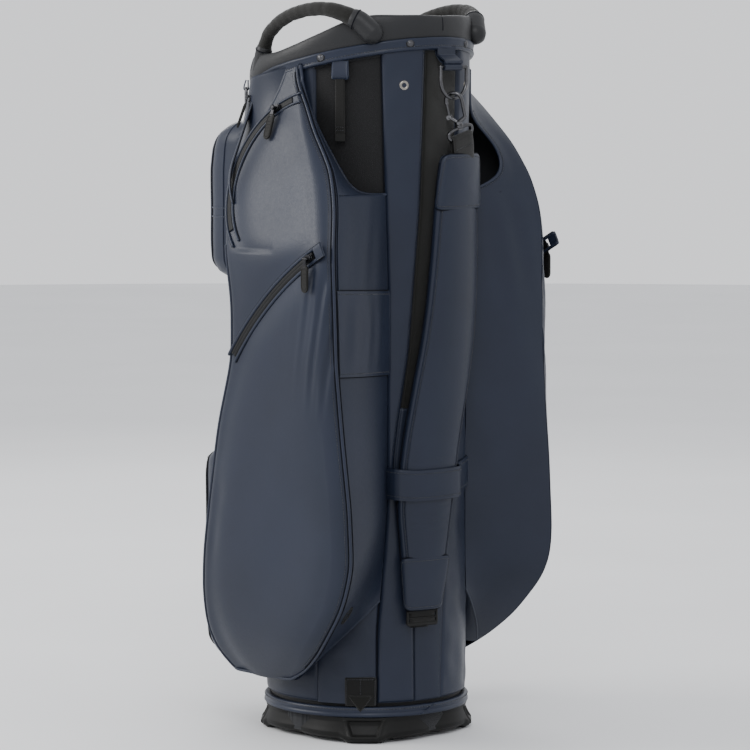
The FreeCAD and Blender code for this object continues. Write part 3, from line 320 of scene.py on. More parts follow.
FOOT_RUBBER = moulded("foot_rubber", (0.007, 0.007, 0.007), 0.7, cell=700.0)
PULL_RUBBER = moulded("puller_rubber", (0.0080, 0.0078, 0.0072), 0.6, cell=1200.0)
GUNMETAL = metal("gunmetal", (0.085, 0.085, 0.090), 0.24)
BLACK_METAL = metal("black_metal", (0.022, 0.022, 0.024), 0.32)
NICKEL = metal("nickel", (0.30, 0.28, 0.25), 0.24)
RIVET_METAL = metal("rivet_metal", (0.075, 0.075, 0.08), 0.3)
ALLOY = metal("stay_alloy", (0.45, 0.46, 0.47), 0.4)


# ---------------------------------------------------------------- mesh helpers (millimetres)
def full_turn(count):
    """Angles once round, without the last one that would repeat the first."""
    return np.linspace(0, 2 * np.pi, count, endpoint=False)


def ease(n):
    """n values from 0 to 1, closer together at both ends."""
    t = np.linspace(0.0, 1.0, n)
    return 0.35 * t + 0.65 * (0.5 - 0.5 * np.cos(np.pi * t))


def new_piece(name, verts, faces, material, slot, body="bag", uvs=None, smooth=True):
    mesh = bpy.data.meshes.new(name)
    mesh.from_pydata((np.asarray(verts, float) * MM).tolist(), [], faces)
    if uvs is not None:
        layer = mesh.uv_layers.new(name="UVMap")
        index = np.empty(len(mesh.loops), np.int32)
        mesh.loops.foreach_get("vertex_index", index)
        layer.data.foreach_set("uv", (np.asarray(uvs, float)[index] * MM).ravel())
    mesh.update()
    mesh.polygons.foreach_set("use_smooth", [smooth] * len(mesh.polygons))
    mesh.materials.append(material)
    piece = bpy.data.objects.new(name, mesh)
    scene.collection.objects.link(piece)
    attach(piece, body)
    return piece


def grid_faces(rows, cols, close_rows=False, close_cols=False, start=0, flip=False):
    faces = []
    last_row = rows if close_rows else rows - 1
    last_col = cols if close_cols else cols - 1
    for j in range(last_row):
        for i in range(last_col):
            a = start + j * cols + i
            b = start + j * cols + (i + 1) % cols
            c = start + ((j + 1) % rows) * cols + (i + 1) % cols
            d = start + ((j + 1) % rows) * cols + i
            faces.append((d, c, b, a) if flip else (a, b, c, d))
    return faces


def grid_normals(points, wrap_cols=False):
    if wrap_cols:
        du = np.roll(points, -1, axis=1) - np.roll(points, 1, axis=1)
    else:
        du = np.gradient(points, axis=1)
    dv = np.gradient(points, axis=0)
    normal = np.cross(du, dv)
    normal /= np.linalg.norm(normal, axis=2, keepdims=True) + 1e-9
    return normal


def outward(points, normal, centre=(0.0, 4.0)):
    """Normals turned so that most of them lean away from the body axis."""
    away = points[..., :2] - np.array(centre)
    if np.sum(normal[..., :2] * away) < 0:
        return -normal
    return normal


def grid_lengths(points):
    """Distance along the columns and along the rows for each grid point."""
    across = np.zeros(points.shape[:2])
    across[:, 1:] = np.cumsum(np.linalg.norm(np.diff(points, axis=1), axis=2), axis=1)
    along = np.zeros(points.shape[:2])
    along[1:, :] = np.cumsum(np.linalg.norm(np.diff(points, axis=0), axis=2), axis=0)
    return across, along


def slab(name, outer, inner, material, slot, body="bag"):
    """Closed piece between two grids of the same size."""
    rows, cols = outer.shape[:2]
    normal = np.cross(np.gradient(outer, axis=1), np.gradient(outer, axis=0))
    flip = np.sum(normal * (outer - inner)) < 0
    count = rows * cols
    faces = grid_faces(rows, cols, flip=flip) + grid_faces(rows, cols, start=count, flip=not flip)
    rim = [(0, i) for i in range(cols)] + [(j, cols - 1) for j in range(1, rows)]
    rim += [(rows - 1, i) for i in range(cols - 2, -1, -1)] + [(j, 0) for j in range(rows - 2, 0, -1)]
    ids = [j * cols + i for j, i in rim]
    for a, b in zip(ids, ids[1:] + ids[:1]):
        faces.append((a, a + count, b + count, b) if flip else (b, b + count, a + count, a))
    across, along = grid_lengths(outer)
    uv = np.stack([across, along], axis=-1).reshape(-1, 2)
    verts = np.concatenate([outer.reshape(-1, 3), inner.reshape(-1, 3)])
    return new_piece(name, verts, faces, material, slot, body, np.concatenate([uv, uv]))


def edge_rise(points, radius, sides=(True, True, True, True)):
    """0 at the chosen sides (left, right, first row, last row) to 1 a radius inside, as a quarter round."""
    across, along = grid_lengths(points)
    far = 1e6 * np.ones_like(across)
    near = far
    if sides[0]:
        near = np.minimum(near, across)
    if sides[1]:
        near = np.minimum(near, across[:, -1:] - across)
    if sides[2]:
        near = np.minimum(near, along)
    if sides[3]:
        near = np.minimum(near, along[-1:, :] - along)
    t = np.clip(near / radius, 0.0, 1.0)
    return np.sqrt(np.maximum(0.0, 1.0 - (1.0 - t) ** 2)), near


def ripple(points, size=0.5, scale=0.02, seed=1):
    """Slow, small unevenness of stretched leather."""
    rng = np.random.RandomState(seed)
    total = np.zeros(points.shape[:-1])
    for _ in range(6):
        direction = rng.normal(size=3)
        direction *= scale * rng.uniform(0.6, 1.8) / np.linalg.norm(direction)
        total += np.sin(points @ direction * 6.28 + rng.uniform(0, 6.28))
    return size * total / 2.4


def pillow(name, base, material, slot, height, radius, crown=0.0, sides=(True,) * 4, extra=None, body="bag",
           seed=1, uneven=0.35):
    """Padded panel standing on a grid: rounded edges, a height and a crown in the middle."""
    normal = outward(base, grid_normals(base))
    rise, near = edge_rise(base, radius, sides)
    widest = max(near.max(), 1.0) if near.max() < 1e5 else 100.0
    swell = crown * (1.0 - (1.0 - np.clip(near / (0.75 * widest), 0, 1)) ** 2)
    lift = height * rise + swell + ripple(base, uneven, 0.02, seed) * np.clip(near / 12.0, 0, 1)
    if extra is not None:
        lift = lift + extra
    top = base + normal * np.maximum(lift, 0.02)[..., None]
    return slab(name, top, base - normal * 0.3, material, slot, body)


def resample(path, step=None, count=None, closed=False):
    path = np.asarray(path, float)
    if closed:
        path = np.vstack([path, path[:1]])
    length = np.concatenate([[0.0], np.cumsum(np.linalg.norm(np.diff(path, axis=0), axis=1))])
    if count is None:
        count = max(2, int(round(length[-1] / step)) + 1)
    s = np.linspace(0.0, length[-1], count)
    out = np.stack([np.interp(s, length, path[:, k]) for k in range(3)], axis=1)
    return out[:-1] if closed else out


def smoothed(path, passes=2, closed=False):
    path = np.asarray(path, float)
    for _ in range(passes):
        if closed:
            path = 0.25 * np.roll(path, 1, 0) + 0.5 * path + 0.25 * np.roll(path, -1, 0)
        else:
            path[1:-1] = 0.25 * path[:-2] + 0.5 * path[1:-1] + 0.25 * path[2:]
    return path


def path_frames(path, closed=False):
    """Tangent and two side vectors carried along a path without twisting."""
    if closed:
        tangent = np.roll(path, -1, 0) - np.roll(path, 1, 0)
    else:
        tangent = np.gradient(path, axis=0)
    tangent /= np.linalg.norm(tangent, axis=1, keepdims=True) + 1e-12
    side = np.zeros_like(path)
    start = np.array([0.0, 0.0, 1.0]) if abs(tangent[0][2]) < 0.9 else np.array([1.0, 0.0, 0.0])
    current = start - tangent[0] * start.dot(tangent[0])
    current /= np.linalg.norm(current)
    for i in range(len(path)):
        current = current - tangent[i] * current.dot(tangent[i])
        current /= np.linalg.norm(current)
        side[i] = current
    return tangent, side, np.cross(tangent, side)


def sweep_mesh(path, radius, sides=10, closed=False):
    """Round tube along a path, with rounded ends. radius is a number or one per point."""
    path = np.asarray(path, float)
    radius = np.broadcast_to(np.asarray(radius, float), (len(path),)).copy()
    if not closed:
        tangent = path[1] - path[0]
        tangent /= np.linalg.norm(tangent)
        last = path[-1] - path[-2]
        last /= np.linalg.norm(last)
        head = [path[0] - tangent * radius[0] * f for f in (0.98, 0.8, 0.45)]
        tail = [path[-1] + last * radius[-1] * f for f in (0.45, 0.8, 0.98)]
        path = np.vstack([head, path, tail])
        radius = np.concatenate([radius[0] * np.array([0.18, 0.6, 0.9]), radius,
                                 radius[-1] * np.array([0.9, 0.6, 0.18])])
    _, a, b = path_frames(path, closed)
    angle = full_turn(sides)
    ring = path[:, None] + radius[:, None, None] * (
        a[:, None] * np.cos(angle)[None, :, None] + b[:, None] * np.sin(angle)[None, :, None])
    verts = ring.reshape(-1, 3)
    faces = grid_faces(len(path), sides, closed, True, flip=True)
    if not closed:
        faces.append(tuple(range(sides)))
        faces.append(tuple(len(verts) - 1 - k for k in range(sides)))
    return verts, faces


def joined(parts):
    verts, faces, offset = [], [], 0
    for v, f in parts:
        verts.append(np.asarray(v, float))
        faces.extend([tuple(i + offset for i in face) for face in f])
        offset += len(v)
    return np.concatenate(verts), faces


def joined_piece(name, parts, material, slot, body="bag", smooth=True):
    verts, faces = joined(parts)
    return new_piece(name, verts, faces, material, slot, body, smooth=smooth)


def placed(parts, origin, x_dir, z_dir):
    """Parts drawn in their own frame, moved to one place."""
    return [(place(verts, origin, x_dir, z_dir), faces) for verts, faces in parts]


def pipe(name, path, radius, material, slot, body="bag", sides=10, closed=False):
    verts, faces = sweep_mesh(path, radius, sides, closed)
    return new_piece(name, verts, faces, material, slot, body)


def pipes(name, paths, radius, material, slot, body="bag", sides=8, closed=False):
    return joined_piece(name, [sweep_mesh(path, radius, sides, closed) for path in paths], material, slot,
                        body)


def stitch_mesh(path, pitch=3.6, length=2.5, radius=0.42, closed=False):
    """Row of thread stitches along a path."""
    path = np.asarray(path, float)
    if closed:
        path = np.vstack([path, path[:1]])
    total = np.linalg.norm(np.diff(path, axis=0), axis=1).sum()
    count = max(2, int(total / pitch))
    spots = resample(path, count=count * 4 + 1)
    parts = []
    angle = full_turn(6)
    for k in range(count):
        middle = spots[4 * k + 2]
        along = spots[min(4 * k + 3, len(spots) - 1)] - spots[4 * k + 1]
        along = along / (np.linalg.norm(along) + 1e-9)
        side = np.cross(along, (0.3, 0.5, 0.8))
        side /= np.linalg.norm(side) + 1e-9
        up = np.cross(along, side)
        rings = []
        for f, r in ((-0.5, 0.35), (-0.3, 1.0), (0.3, 1.0), (0.5, 0.35)):
            for c, s in zip(np.cos(angle), np.sin(angle)):
                rings.append(middle + along * length * f + (side * c + up * s) * radius * r)
        faces = grid_faces(4, 6, False, True) + [tuple(range(5, -1, -1)), tuple(range(18, 24))]
        parts.append((np.array(rings), faces))
    return joined(parts)


def stitches(name, paths, body="bag", pitch=3.6, length=2.5, radius=0.42, closed=False, slot="navy_leather"):
    parts = [stitch_mesh(path, pitch, length, radius, closed) for path in paths]
    return joined_piece(name, parts, THREAD, slot, body)


def tube_size(z):
    t = (z - 30.0) / 870.0
    return 119.0 + 4.0 * t, 119.0 + 15.0 * t, 7.0 * t


def tube(phi, z, lift=0.0):
    """Point on the tube's outside, pushed out by lift."""
    a = np.radians(np.asarray(phi, float))
    z = np.asarray(z, float)
    rx, ry, cy = tube_size(z)
    x = (rx + lift) * np.sin(a)
    y = cy - (ry + lift) * np.cos(a)
    return np.stack(np.broadcast_arrays(x, y, z), axis=-1)


def rim_z(phi, drop, lift=0.0):
    """Height on the tube that lies drop below the mouth plane."""
    z = np.full(np.shape(phi), 830.0)
    for _ in range(4):
        z = MOUTH_Z - SLANT * tube(phi, z, lift)[..., 1] - drop
    return z


def oval(phi, grow=0.0):
    """Point of the cuff's oval in plan."""
    a = np.radians(np.asarray(phi, float))
    return (CUFF_RX + grow) * np.sin(a), CUFF_Y - (CUFF_RY + grow) * np.cos(a)


def circle_line(phi, radius, z):
    """Line round the axis, with a radius and a height for each angle."""
    a = np.radians(phi)
    return np.stack(np.broadcast_arrays(radius * np.sin(a), -radius * np.cos(a), z), axis=-1)


def cuff_line(phi, grow, height):
    """Line round the cuff's oval, pushed out by grow, at the height that height(y) gives."""
    a = np.radians(phi)
    x, y = oval(phi)
    x = x + np.sin(a) * grow
    y = y - np.cos(a) * grow
    return np.stack([x, y, height(y)], axis=1)


def wrap(left, right, low, drop, cols=28, rows=110, lift=0.2, top=None):
    """Grid on the tube between two edge angles, from a height up to the slanted rim or a level top."""
    u = ease(cols)
    v = ease(rows)
    guess = low + v * ((top or 850.0) - low)
    phi = left(guess)[:, None] * (1 - u)[None, :] + right(guess)[:, None] * u[None, :]
    high = np.full(phi.shape, top) if top else rim_z(phi, drop, lift)
    z = low + v[:, None] * (high - low)
    return tube(phi, z, lift)


def level(value):
    return lambda z: np.full(np.shape(z), float(value))


def table(pairs):
    """Piecewise curve through (height, value) pairs, softened."""
    xs = np.array([p[0] for p in pairs], float)
    ys = np.array([p[1] for p in pairs], float)
    order = np.argsort(xs)
    xs, ys = xs[order], ys[order]
    fine = np.linspace(xs[0], xs[-1], 400)
    vals = np.interp(fine, xs, ys)
    step = (xs[-1] - xs[0]) / 399
    width = int(max(1, 26.0 / step))
    padded = np.concatenate([2 * vals[0] - vals[width:0:-1], vals, 2 * vals[-1] - vals[-2:-width - 2:-1]])
    kernel = np.hanning(2 * width + 1)
    kernel /= kernel.sum()
    soft = np.convolve(padded, kernel, mode="same")[width:-width]
    return lambda z: np.interp(z, fine, soft)


def circle_through(p, q, r):
    p, q, r = (np.array(v, float) for v in (p, q, r))
    a, b = q - p, r - p
    n = np.cross(a, b)
    centre = p + (np.cross(n, a) * b.dot(b) + np.cross(b, n) * a.dot(a)) / (2.0 * n.dot(n))
    n /= np.linalg.norm(n)
    return centre, np.linalg.norm(p - centre), n


def mirrored(points, side):
    points = np.array(points, float)
    points[..., 0] *= side
    return points


def unit(v):
    v = np.asarray(v, float)
    return v / (np.linalg.norm(v) + 1e-12)


def place(verts, origin, x_dir, z_dir):
    """Local points moved to a frame whose z is z_dir and whose x lies near x_dir."""
    z_axis = unit(z_dir)
    y_axis = unit(np.cross(z_axis, x_dir))
    x_axis = np.cross(y_axis, z_axis)
    verts = np.asarray(verts, float)
    return np.asarray(origin, float) + verts[:, :1] * x_axis + verts[:, 1:2] * y_axis + verts[:, 2:3] * z_axis


def extruded(outline, z0, z1, bevel=0.4):
    """Prism of a convex or simple outline with chamfered rims."""
    outline = np.asarray(outline, float)
    centre = outline.mean(axis=0)
    small = centre + (outline - centre) * (1.0 - bevel / np.abs(outline - centre).max())
    n = len(outline)
    rings = [(small, z0), (outline, z0 + bevel), (outline, z1 - bevel), (small, z1)]
    verts = np.array([[x, y, z] for ring, z in rings for x, y in ring])
    faces = grid_faces(4, n, False, True)
    faces.append(tuple(range(n - 1, -1, -1)))
    faces.append(tuple(range(3 * n, 4 * n)))
    return verts, faces


def level_out(degrees):
    """Level direction away from the axis at an angle round the tube."""
    a = math.radians(degrees)
    return np.array([math.sin(a), -math.cos(a), 0.0])


def turned(profile, segments=28):
    """Solid of revolution about local z: profile is (radius, z) from bottom centre to top centre."""
    verts = []
    for k in range(segments):
        a = 2 * math.pi * k / segments
        for r, z in profile:
            verts.append((max(r, 0.001) * math.cos(a), max(r, 0.001) * math.sin(a), z))
    faces = grid_faces(segments, len(profile), True, False, flip=False)
    return np.array(verts), faces


# ---------------------------------------------------------------- base, feet and hem
def base_radius(phi):
    """Plan radius of the rounded square base."""
    flat_half, corner = 119.0, 95.0
    a = np.abs((np.asarray(phi, float) + 45.0) % 90.0 - 45.0)
    offset = (flat_half - corner) * math.sqrt(2.0)
    d = np.radians(45.0 - a)
    arc = offset * np.cos(d) + np.sqrt(corner ** 2 - (offset * np.sin(d)) ** 2)
    return np.minimum(np.minimum(flat_half / np.cos(np.radians(a)), arc), 128.0)


def base_pieces():
    count = 720
    phi = np.linspace(0.0, 360.0, count, endpoint=False)
    radius = base_radius(phi)
    from_corner = (phi % 90.0 - 45.0) * math.pi / 180.0 * 128.0
    near = np.clip((34.0 - np.abs(from_corner)) / 16.0, 0, 1)
    corner = near * near * (3 - 2 * near)
    levels = np.concatenate([np.linspace(36.0, 31.5, 6), np.linspace(31.0, 2.0, 31),
                             np.linspace(1.6, 0.0, 5)])
    lifted = 5.2 * (1.0 - corner)
    outer = []
    for z in levels:
        waist = np.interp(z, [0, 4, 9, 15, 24, 28.5, 31, 36], [-3.6, -0.6, 0.0, -1.6, -3.6, -3.0, -2.0, -3.6])
        flare = np.interp(z, [0, 3, 8, 13, 20, 30], [0.6, 3.2, 3.4, 1.6, 0.0, 0.0]) * corner
        half = 15.5 + (z - 4.0) * 0.42
        s = np.abs(from_corner)
        rib = np.exp(-((s - half) / 1.9) ** 2) * (4 < z < 27.5)
        recess = np.clip((half - 2.6 - s) / 1.6, 0, 1) * np.clip((z - 8.5) / 1.5, 0,
                1) * np.clip((27.0 - z) / 1.5, 0, 1)
        lip = np.exp(-((z - 7.0) / 1.3) ** 2) * np.clip((half - s) / 2.0, 0, 1)
        zz = lifted + z * (36.0 - lifted) / 36.0
        r = np.minimum(radius + waist, np.where(z > 30.5, 123.6,
                999.0)) + flare * (z < 30.5) + 1.7 * rib - 3.0 * recess + 0.9 * lip
        outer.append(circle_line(phi, r, zz))
    inner_top = ((0.02, 7.6), (60.0, 7.6), (radius - 9.0, 7.6), (radius - 6.5, 9.0), (radius - 6.0, 20.0),
                 (radius - 6.0, 35.0), (radius - 5.4, 36.0))
    under = ((radius - 7.0, lifted + 0.4), (radius - 10.0, lifted + 1.6), (radius - 26.0, 4.4), (52.0, 3.4),
             (47.5, 2.8), (46.0, 0.5), (44.0, 0.0), (0.02, 0.0))
    rings = [circle_line(phi, r, z) for r, z in inner_top] + outer + [circle_line(phi, r, z) for r,
            z in under]
    verts = np.concatenate(rings)
    faces = grid_faces(len(rings), count, False, True)
    base = new_piece("base_moulding", verts, faces, BLACK_MOULD, "black_mould")
    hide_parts("base_shell", "base_feet")
    pads = []
    for k in range(4):
        out = level_out(45.0 + 90.0 * k)
        outline = [(-13, -19), (11, -21), (14, -15), (15, 0), (14, 15), (11, 21), (-13, 19), (-15, 0)]
        pads += placed([extruded(outline, 0.0, 3.4, 0.8)], out * FOOT_RADIUS, out, (0, 0, 1))
        bars = [extruded([(-12, t - 1.5), (12.4, t - 1.5), (12.4, t + 1.5), (-12, t + 1.5)], -0.02, 0.5, 0.2)
                for t in (-11.0, -3.7, 3.7, 11.0)]
        pads += placed(bars, out * FOOT_RADIUS + np.array([0.0, 0.0, 0.02]), out, (0, 0, 1))
    verts, faces = joined(pads)
    new_piece("foot_pads", verts, faces, FOOT_RUBBER, "foot_rubber", smooth=False)


HEM_SHIFT = -5.0           # the soft hem hangs this far over the base's upper edge


def hem_pieces():
    count = 360
    phi = np.linspace(0.0, 360.0, count, endpoint=False)
    profile = [(119.6, 36.6), (124.0, 36.4), (126.4, 37.0), (127.6, 38.6), (127.5, 40.4), (126.6, 41.6),
               (126.1, 42.2),
               (126.5, 42.9), (126.9, 44.5), (126.7, 46.6), (126.2, 48.2), (125.2, 49.1), (123.4, 49.2),
               (119.6, 49.2)]
    rings = []
    for r, z in profile:
        wave = 0.25 * np.sin(np.radians(phi * 7)) + 0.2 * np.sin(np.radians(phi * 16 + 40))
        rings.append(circle_line(phi, r + wave, z + HEM_SHIFT + 0.1 * wave))
    faces = grid_faces(len(rings), count, True, True)
    hem = new_piece("hem_binding", np.concatenate(rings), faces, NAVY_EDGE, "navy_leather")
    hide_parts("hem_band")
    line = circle_line(np.arange(360.0), 127.0, 46.6 + HEM_SHIFT)
    stitches("hem_stitches", [line], closed=True, pitch=3.8, length=2.7, radius=0.45)
    lap = [tube(p, z, 8.4) for p, z in ((-12.0, 33.0), (-8.0, 37.0), (-3.0, 43.6))]
    pipe("hem_overlap_edge", resample(lap, 1.5), 0.7, NAVY_EDGE, "navy_leather", sides=8)


# ---------------------------------------------------------------- tube, skins and spine
SEAM = table([(40, 37.8), (140, 37.8), (285, 32.8), (560, 32.8), (669, 34.2), (850, 36.5)])


def tube_pieces():
    around = level(-180.0), level(180.0)
    wall = wrap(*around, 36.8, 0.6, cols=181, rows=90, lift=0.0)
    inner = wrap(*around, 36.8, 0.6, cols=181, rows=90, lift=-1.4)
    shell = slab("tube_wall", wall, inner, SIDE_FABRIC, "textured_fabric")
    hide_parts("body_tube")
    a = wrap(*around, 9.0, 0.8, cols=121, rows=80, lift=-1.6)
    b = wrap(*around, 9.0, 0.8, cols=121, rows=80, lift=-3.0)
    fold = 0.2 * np.sin(np.linspace(0, 40, 121))[None, :, None]
    slab("tube_lining", a, b + fold, LINING, "lining")
    base = wrap(level(72.0), level(288.0), SKIN_LOW, SKIN_DROP, cols=150, rows=130, lift=0.3)
    pillow("front_skin", base, NAVY_SOFT, "navy_leather", 4.6, 5.0, seed=3, uneven=0.5)
    for word, start, end, seed in (("left", level(-73.0), lambda z: -SEAM(z) - 0.2, 4),
                                   ("right", lambda z: SEAM(z) + 0.2, level(73.0), 5)):
        base = wrap(start, end, SKIN_LOW, 0, cols=70, rows=60, lift=0.3, top=186.0)
        pillow("lower_side_skin_" + word, base, NAVY_SOFT, "navy_leather", 4.6, 3.0,
               sides=(True, True, False, False), seed=seed, uneven=0.7)


LEFT_EDGE = table([(40, -15.0), (230, -16.5), (285, -24.0), (322, -28.5), (353, -28.0), (403, -25.1),
                   (477, -19.8),
                   (564, -16.7), (657, -13.4), (825, -11.1), (870, -10.5)])
RIGHT_EDGE = table([(40, 2.5), (300, 6.0), (600, 11.8), (870, 15.0)])


def spine_pieces():
    for word, start, end, seed in (("left", lambda z: -SEAM(z) + 0.3, LEFT_EDGE, 11),
                                   ("right", RIGHT_EDGE, lambda z: SEAM(z) - 0.3, 12)):
        base = wrap(start, end, SKIN_LOW, SKIN_DROP, cols=60, rows=160, lift=0.3)
        roll = pillow("spine_roll_" + word, base, NAVY, "navy_leather", 5.6, 6.0, crown=0.5, seed=seed,
                      uneven=0.5)
        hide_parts("spine_panel_" + word)
    base = wrap(LEFT_EDGE, lambda z: RIGHT_EDGE(z) + 1.5, SKIN_LOW, 0, cols=30, rows=80, lift=0.3, top=410.0)
    strip = pillow("spine_channel_lower", base, NAVY_SOFT, "navy_leather", 4.4, 2.0, seed=13, uneven=0.3)
    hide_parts("spine_channel_strip")
    cloth = wrap(lambda z: LEFT_EDGE(z) + 1.2, lambda z: RIGHT_EDGE(z) + 1.0, 404.0, SKIN_DROP, cols=30,
                 rows=110, lift=0.3)
    folds = 0.5 * np.sin(np.linspace(0, 9, 30))[None, :] * np.linspace(0.2, 1, 110)[:, None]
    pillow("spine_channel_cloth", cloth, OLIVE_CLOTH, "textured_fabric", 1.4, 3.0, extra=folds, seed=14)
    zs = np.linspace(54.0, 842.0, 260)
    zs = zs[zs > 350.0]
    stitches("spine_stitches", [tube(LEFT_EDGE(zs) - 1.8, zs, 6.0)], pitch=3.6, length=2.5, radius=0.4)
    zs = np.linspace(54.0, 400.0, 140)
    stitches("channel_stitches", [tube(RIGHT_EDGE(zs) - 1.0, zs, 4.6)], pitch=3.0, length=1.9, radius=0.3)
    zs = np.linspace(46.0, 846.0, 200)
    for word, s in (("left", -1), ("right", 1)):
        pipe("spine_seam_shadow_" + word, tube(s * SEAM(zs), zs, 1.6), 1.0, SEAM_DARK, "navy_leather",
             sides=6)


def band_line(y):
    """Upper edge of the soft trim band, which hangs a little below the mouth plane, most in front."""
    return MOUTH_Z - SLANT * y - 5.0 - 0.000226 * np.maximum(0.0, np.asarray(y, float) + 30.0) ** 2


def cuff_pieces(phi):
    """Padded leather cuff round the mouth, highest at its rounded sides."""
    heights = [(0, 21), (25, 24.5), (42, 29.5), (55, 27), (67, 20), (82, 14), (95, 11.5), (104, 13),
               (114, 19), (125, 22),
               (145, 19), (180, 17)]
    h = np.interp(np.abs(phi), *zip(*heights))
    for _ in range(24):
        h = 0.25 * np.roll(h, 1) + 0.5 * h + 0.25 * np.roll(h, -1)
    flare = 4.2 * np.exp(-((np.abs(phi) - 122.0) / 22.0) ** 2)
    pad = 0.35 * np.sin(np.radians(phi * 9)) + 0.3 * np.sin(np.radians(phi * 23 + 20))
    # Push outward, height, and whether that height is a share of the cuff's own or in millimetres
    profile = [(-1.4, -20.0, 0), (-0.6, -1.0, 0), (-0.3, 0.14, 1), (-0.2, 0.35, 1), (-0.5, 0.6, 1),
               (-1.2, 0.82, 1),
               (-2.4, 0.94, 1), (-4.2, 1.0, 1), (-6.2, 0.97, 1), (-7.8, 0.88, 1), (-8.8, 0.72, 1),
               (-9.2, 0.4, 1),
               (-9.4, 0.05, 1), (-9.6, -6.0, 0), (-9.8, -22.0, 0), (-6.0, -22.5, 0), (-4.0, -16.0, 0)]
    rings = []
    for grow, level_, is_share in profile:
        rise = level_ * h if is_share else level_
        outer_face = grow > -3
        lean = flare * (1.0 - np.clip(level_, 0, 1)) if is_share else flare
        push = grow + (lean + 0.25 * pad if outer_face else 0.0 * phi)
        rings.append(cuff_line(phi, push, lambda y: MOUTH_Z - SLANT * y + rise))
    faces = grid_faces(len(rings), len(phi), True, True)
    cuff = new_piece("mouth_cuff", np.concatenate(rings), faces, CUFF_LEATHER, "cuff_leather")
    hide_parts("top_cuff")
    seams = []
    for a in (-124.0, 124.0, 0.0):
        i = int(np.argmin(np.abs(phi - a)))
        seam = np.array([ring[i] + level_out(a) * 0.15 for ring in rings[2:9]])
        seams.append(resample(smoothed(seam, 1), 1.0))
    # Dark lines down the cuff's seams: painted shade of the seam grooves
    pipes("cuff_seam_shadows", seams, 0.55, SEAM_DARK, "cuff_leather", sides=6)


def trim_pieces(phi):
    """Navy trim band below the cuff, with its stitches and rivets."""
    profile = [(-7.0, -0.4), (-1.5, 0.1), (0.8, -0.2), (2.0, -1.5), (2.1, -3.0), (1.5, -4.2), (1.3, -5.2),
               (1.3, -8.6),
               (1.0, -9.4), (1.9, -10.4), (2.1, -11.8), (1.3, -12.9), (-0.6, -13.4), (-7.0, -13.2)]
    wobble = 0.22 * np.sin(np.radians(phi * 11 + 30)) + 0.2 * np.sin(np.radians(phi * 29))
    rings = [cuff_line(phi, grow + wobble * 0.6, lambda y: band_line(y) + TRIM_STRETCH * drop + 0.3 * wobble)
             for grow, drop in profile]
    faces = grid_faces(len(rings), len(phi), True, True)
    trim = new_piece("trim_band", np.concatenate(rings), faces, NAVY_EDGE, "navy_leather")
    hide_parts("top_trim_band")
    stitch_z = band_line(oval(phi)[1]) - TRIM_STRETCH * 9.2
    line = cuff_line(phi, 1.35, lambda y: stitch_z)
    stitches("trim_stitches_lower", [line], closed=True, pitch=4.0, length=2.8, radius=0.5)
    head = turned([(0, -1.0), (4.4, -1.0), (4.5, 0.0), (4.3, 0.7), (3.7, 1.25), (3.1, 1.35), (2.9, 1.1),
                   (2.6, 1.45),
                   (1.6, 1.9), (0, 2.05)])
    washer = turned([(0, -0.6), (5.4, -0.6), (5.5, -0.1), (5.0, 0.25), (0, 0.3)])
    heads, washers = [], []
    for a in (-159, -113, -67, -21, 21, 67, 113, 159):
        x, y = oval(a, 1.4)
        at = np.array([x, y, float(band_line(y)) - 6.4])
        heads += placed([head], at, (0, 0, 1), level_out(a))
        washers += placed([washer], at, (0, 0, 1), level_out(a))
    rivets = joined_piece("rivet_heads", heads, RIVET_METAL, "gunmetal")
    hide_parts("trim_rivets")
    joined_piece("rivet_washers", washers, BLACK_MOULD, "black_mould")


def eyelet_pieces():
    rim_profile = [(2.3, -0.6), (5.9, -0.5), (6.2, 0.3), (5.6, 1.2), (4.5, 1.7), (3.3, 1.5), (2.5, 0.6),
                   (2.3, -0.6)]
    rims, hole_shades = [], []
    for a in (-24.0, 24.0):
        at = tube(a, 800.0, 5.9)
        out = unit(tube(a, 800.0, 100.0) - tube(a, 800.0, 0.0))
        rims += placed([turned(rim_profile, 36)], at, (0, 0, 1), out)
        hole_shades += placed([turned([(0, -1.5), (3.0, -1.5), (3.0, 0.4), (0, 0.35)], 24)], at, (0, 0, 1), out)
    rim = joined_piece("eyelet_rings", rims, NICKEL, "nickel")
    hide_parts("eyelets")
    # Dark discs inside the eyelet rings: painted shade of the holes
    joined_piece("eyelet_hole_shade", hole_shades, SEAM_DARK, "nickel")


def mouth_pieces():
    phi = np.linspace(-180.0, 180.0, 420, endpoint=False)
    cuff_pieces(phi)
    trim_pieces(phi)
    eyelet_pieces()


def capsule_bar(p, q, half_wide, half_tall, up, steps=40):
    """Padded bar between two points: a flattened round section with puckered ends."""
    path = np.array(p)[None] * (1 - np.linspace(0, 1, steps))[:, None] + np.array(q)[None] * np.linspace(0,
            1, steps)[:, None]
    t = np.linspace(0, 1, steps)
    grow = 0.72 + 0.28 * np.minimum(1, np.minimum(t, 1 - t) * 9) + 0.015 * np.sin(t * 60)
    along = unit(np.array(q) - np.array(p))
    side = unit(np.cross(along, up))
    lift = np.cross(side, along)
    angle = full_turn(20)
    c = np.sign(np.cos(angle)) * np.abs(np.cos(angle)) ** 0.8
    s = np.sign(np.sin(angle)) * np.abs(np.sin(angle)) ** 0.65
    ring = path[:, None] + grow[:, None, None] * (half_wide * c[None, :, None] * side
                                                  + half_tall * s[None, :, None] * lift)
    faces = grid_faces(steps, 20, False, True, flip=True) + [tuple(range(20)),
                                                             tuple(steps * 20 - 1 - k for k in range(20))]
    return ring.reshape(-1, 3), faces


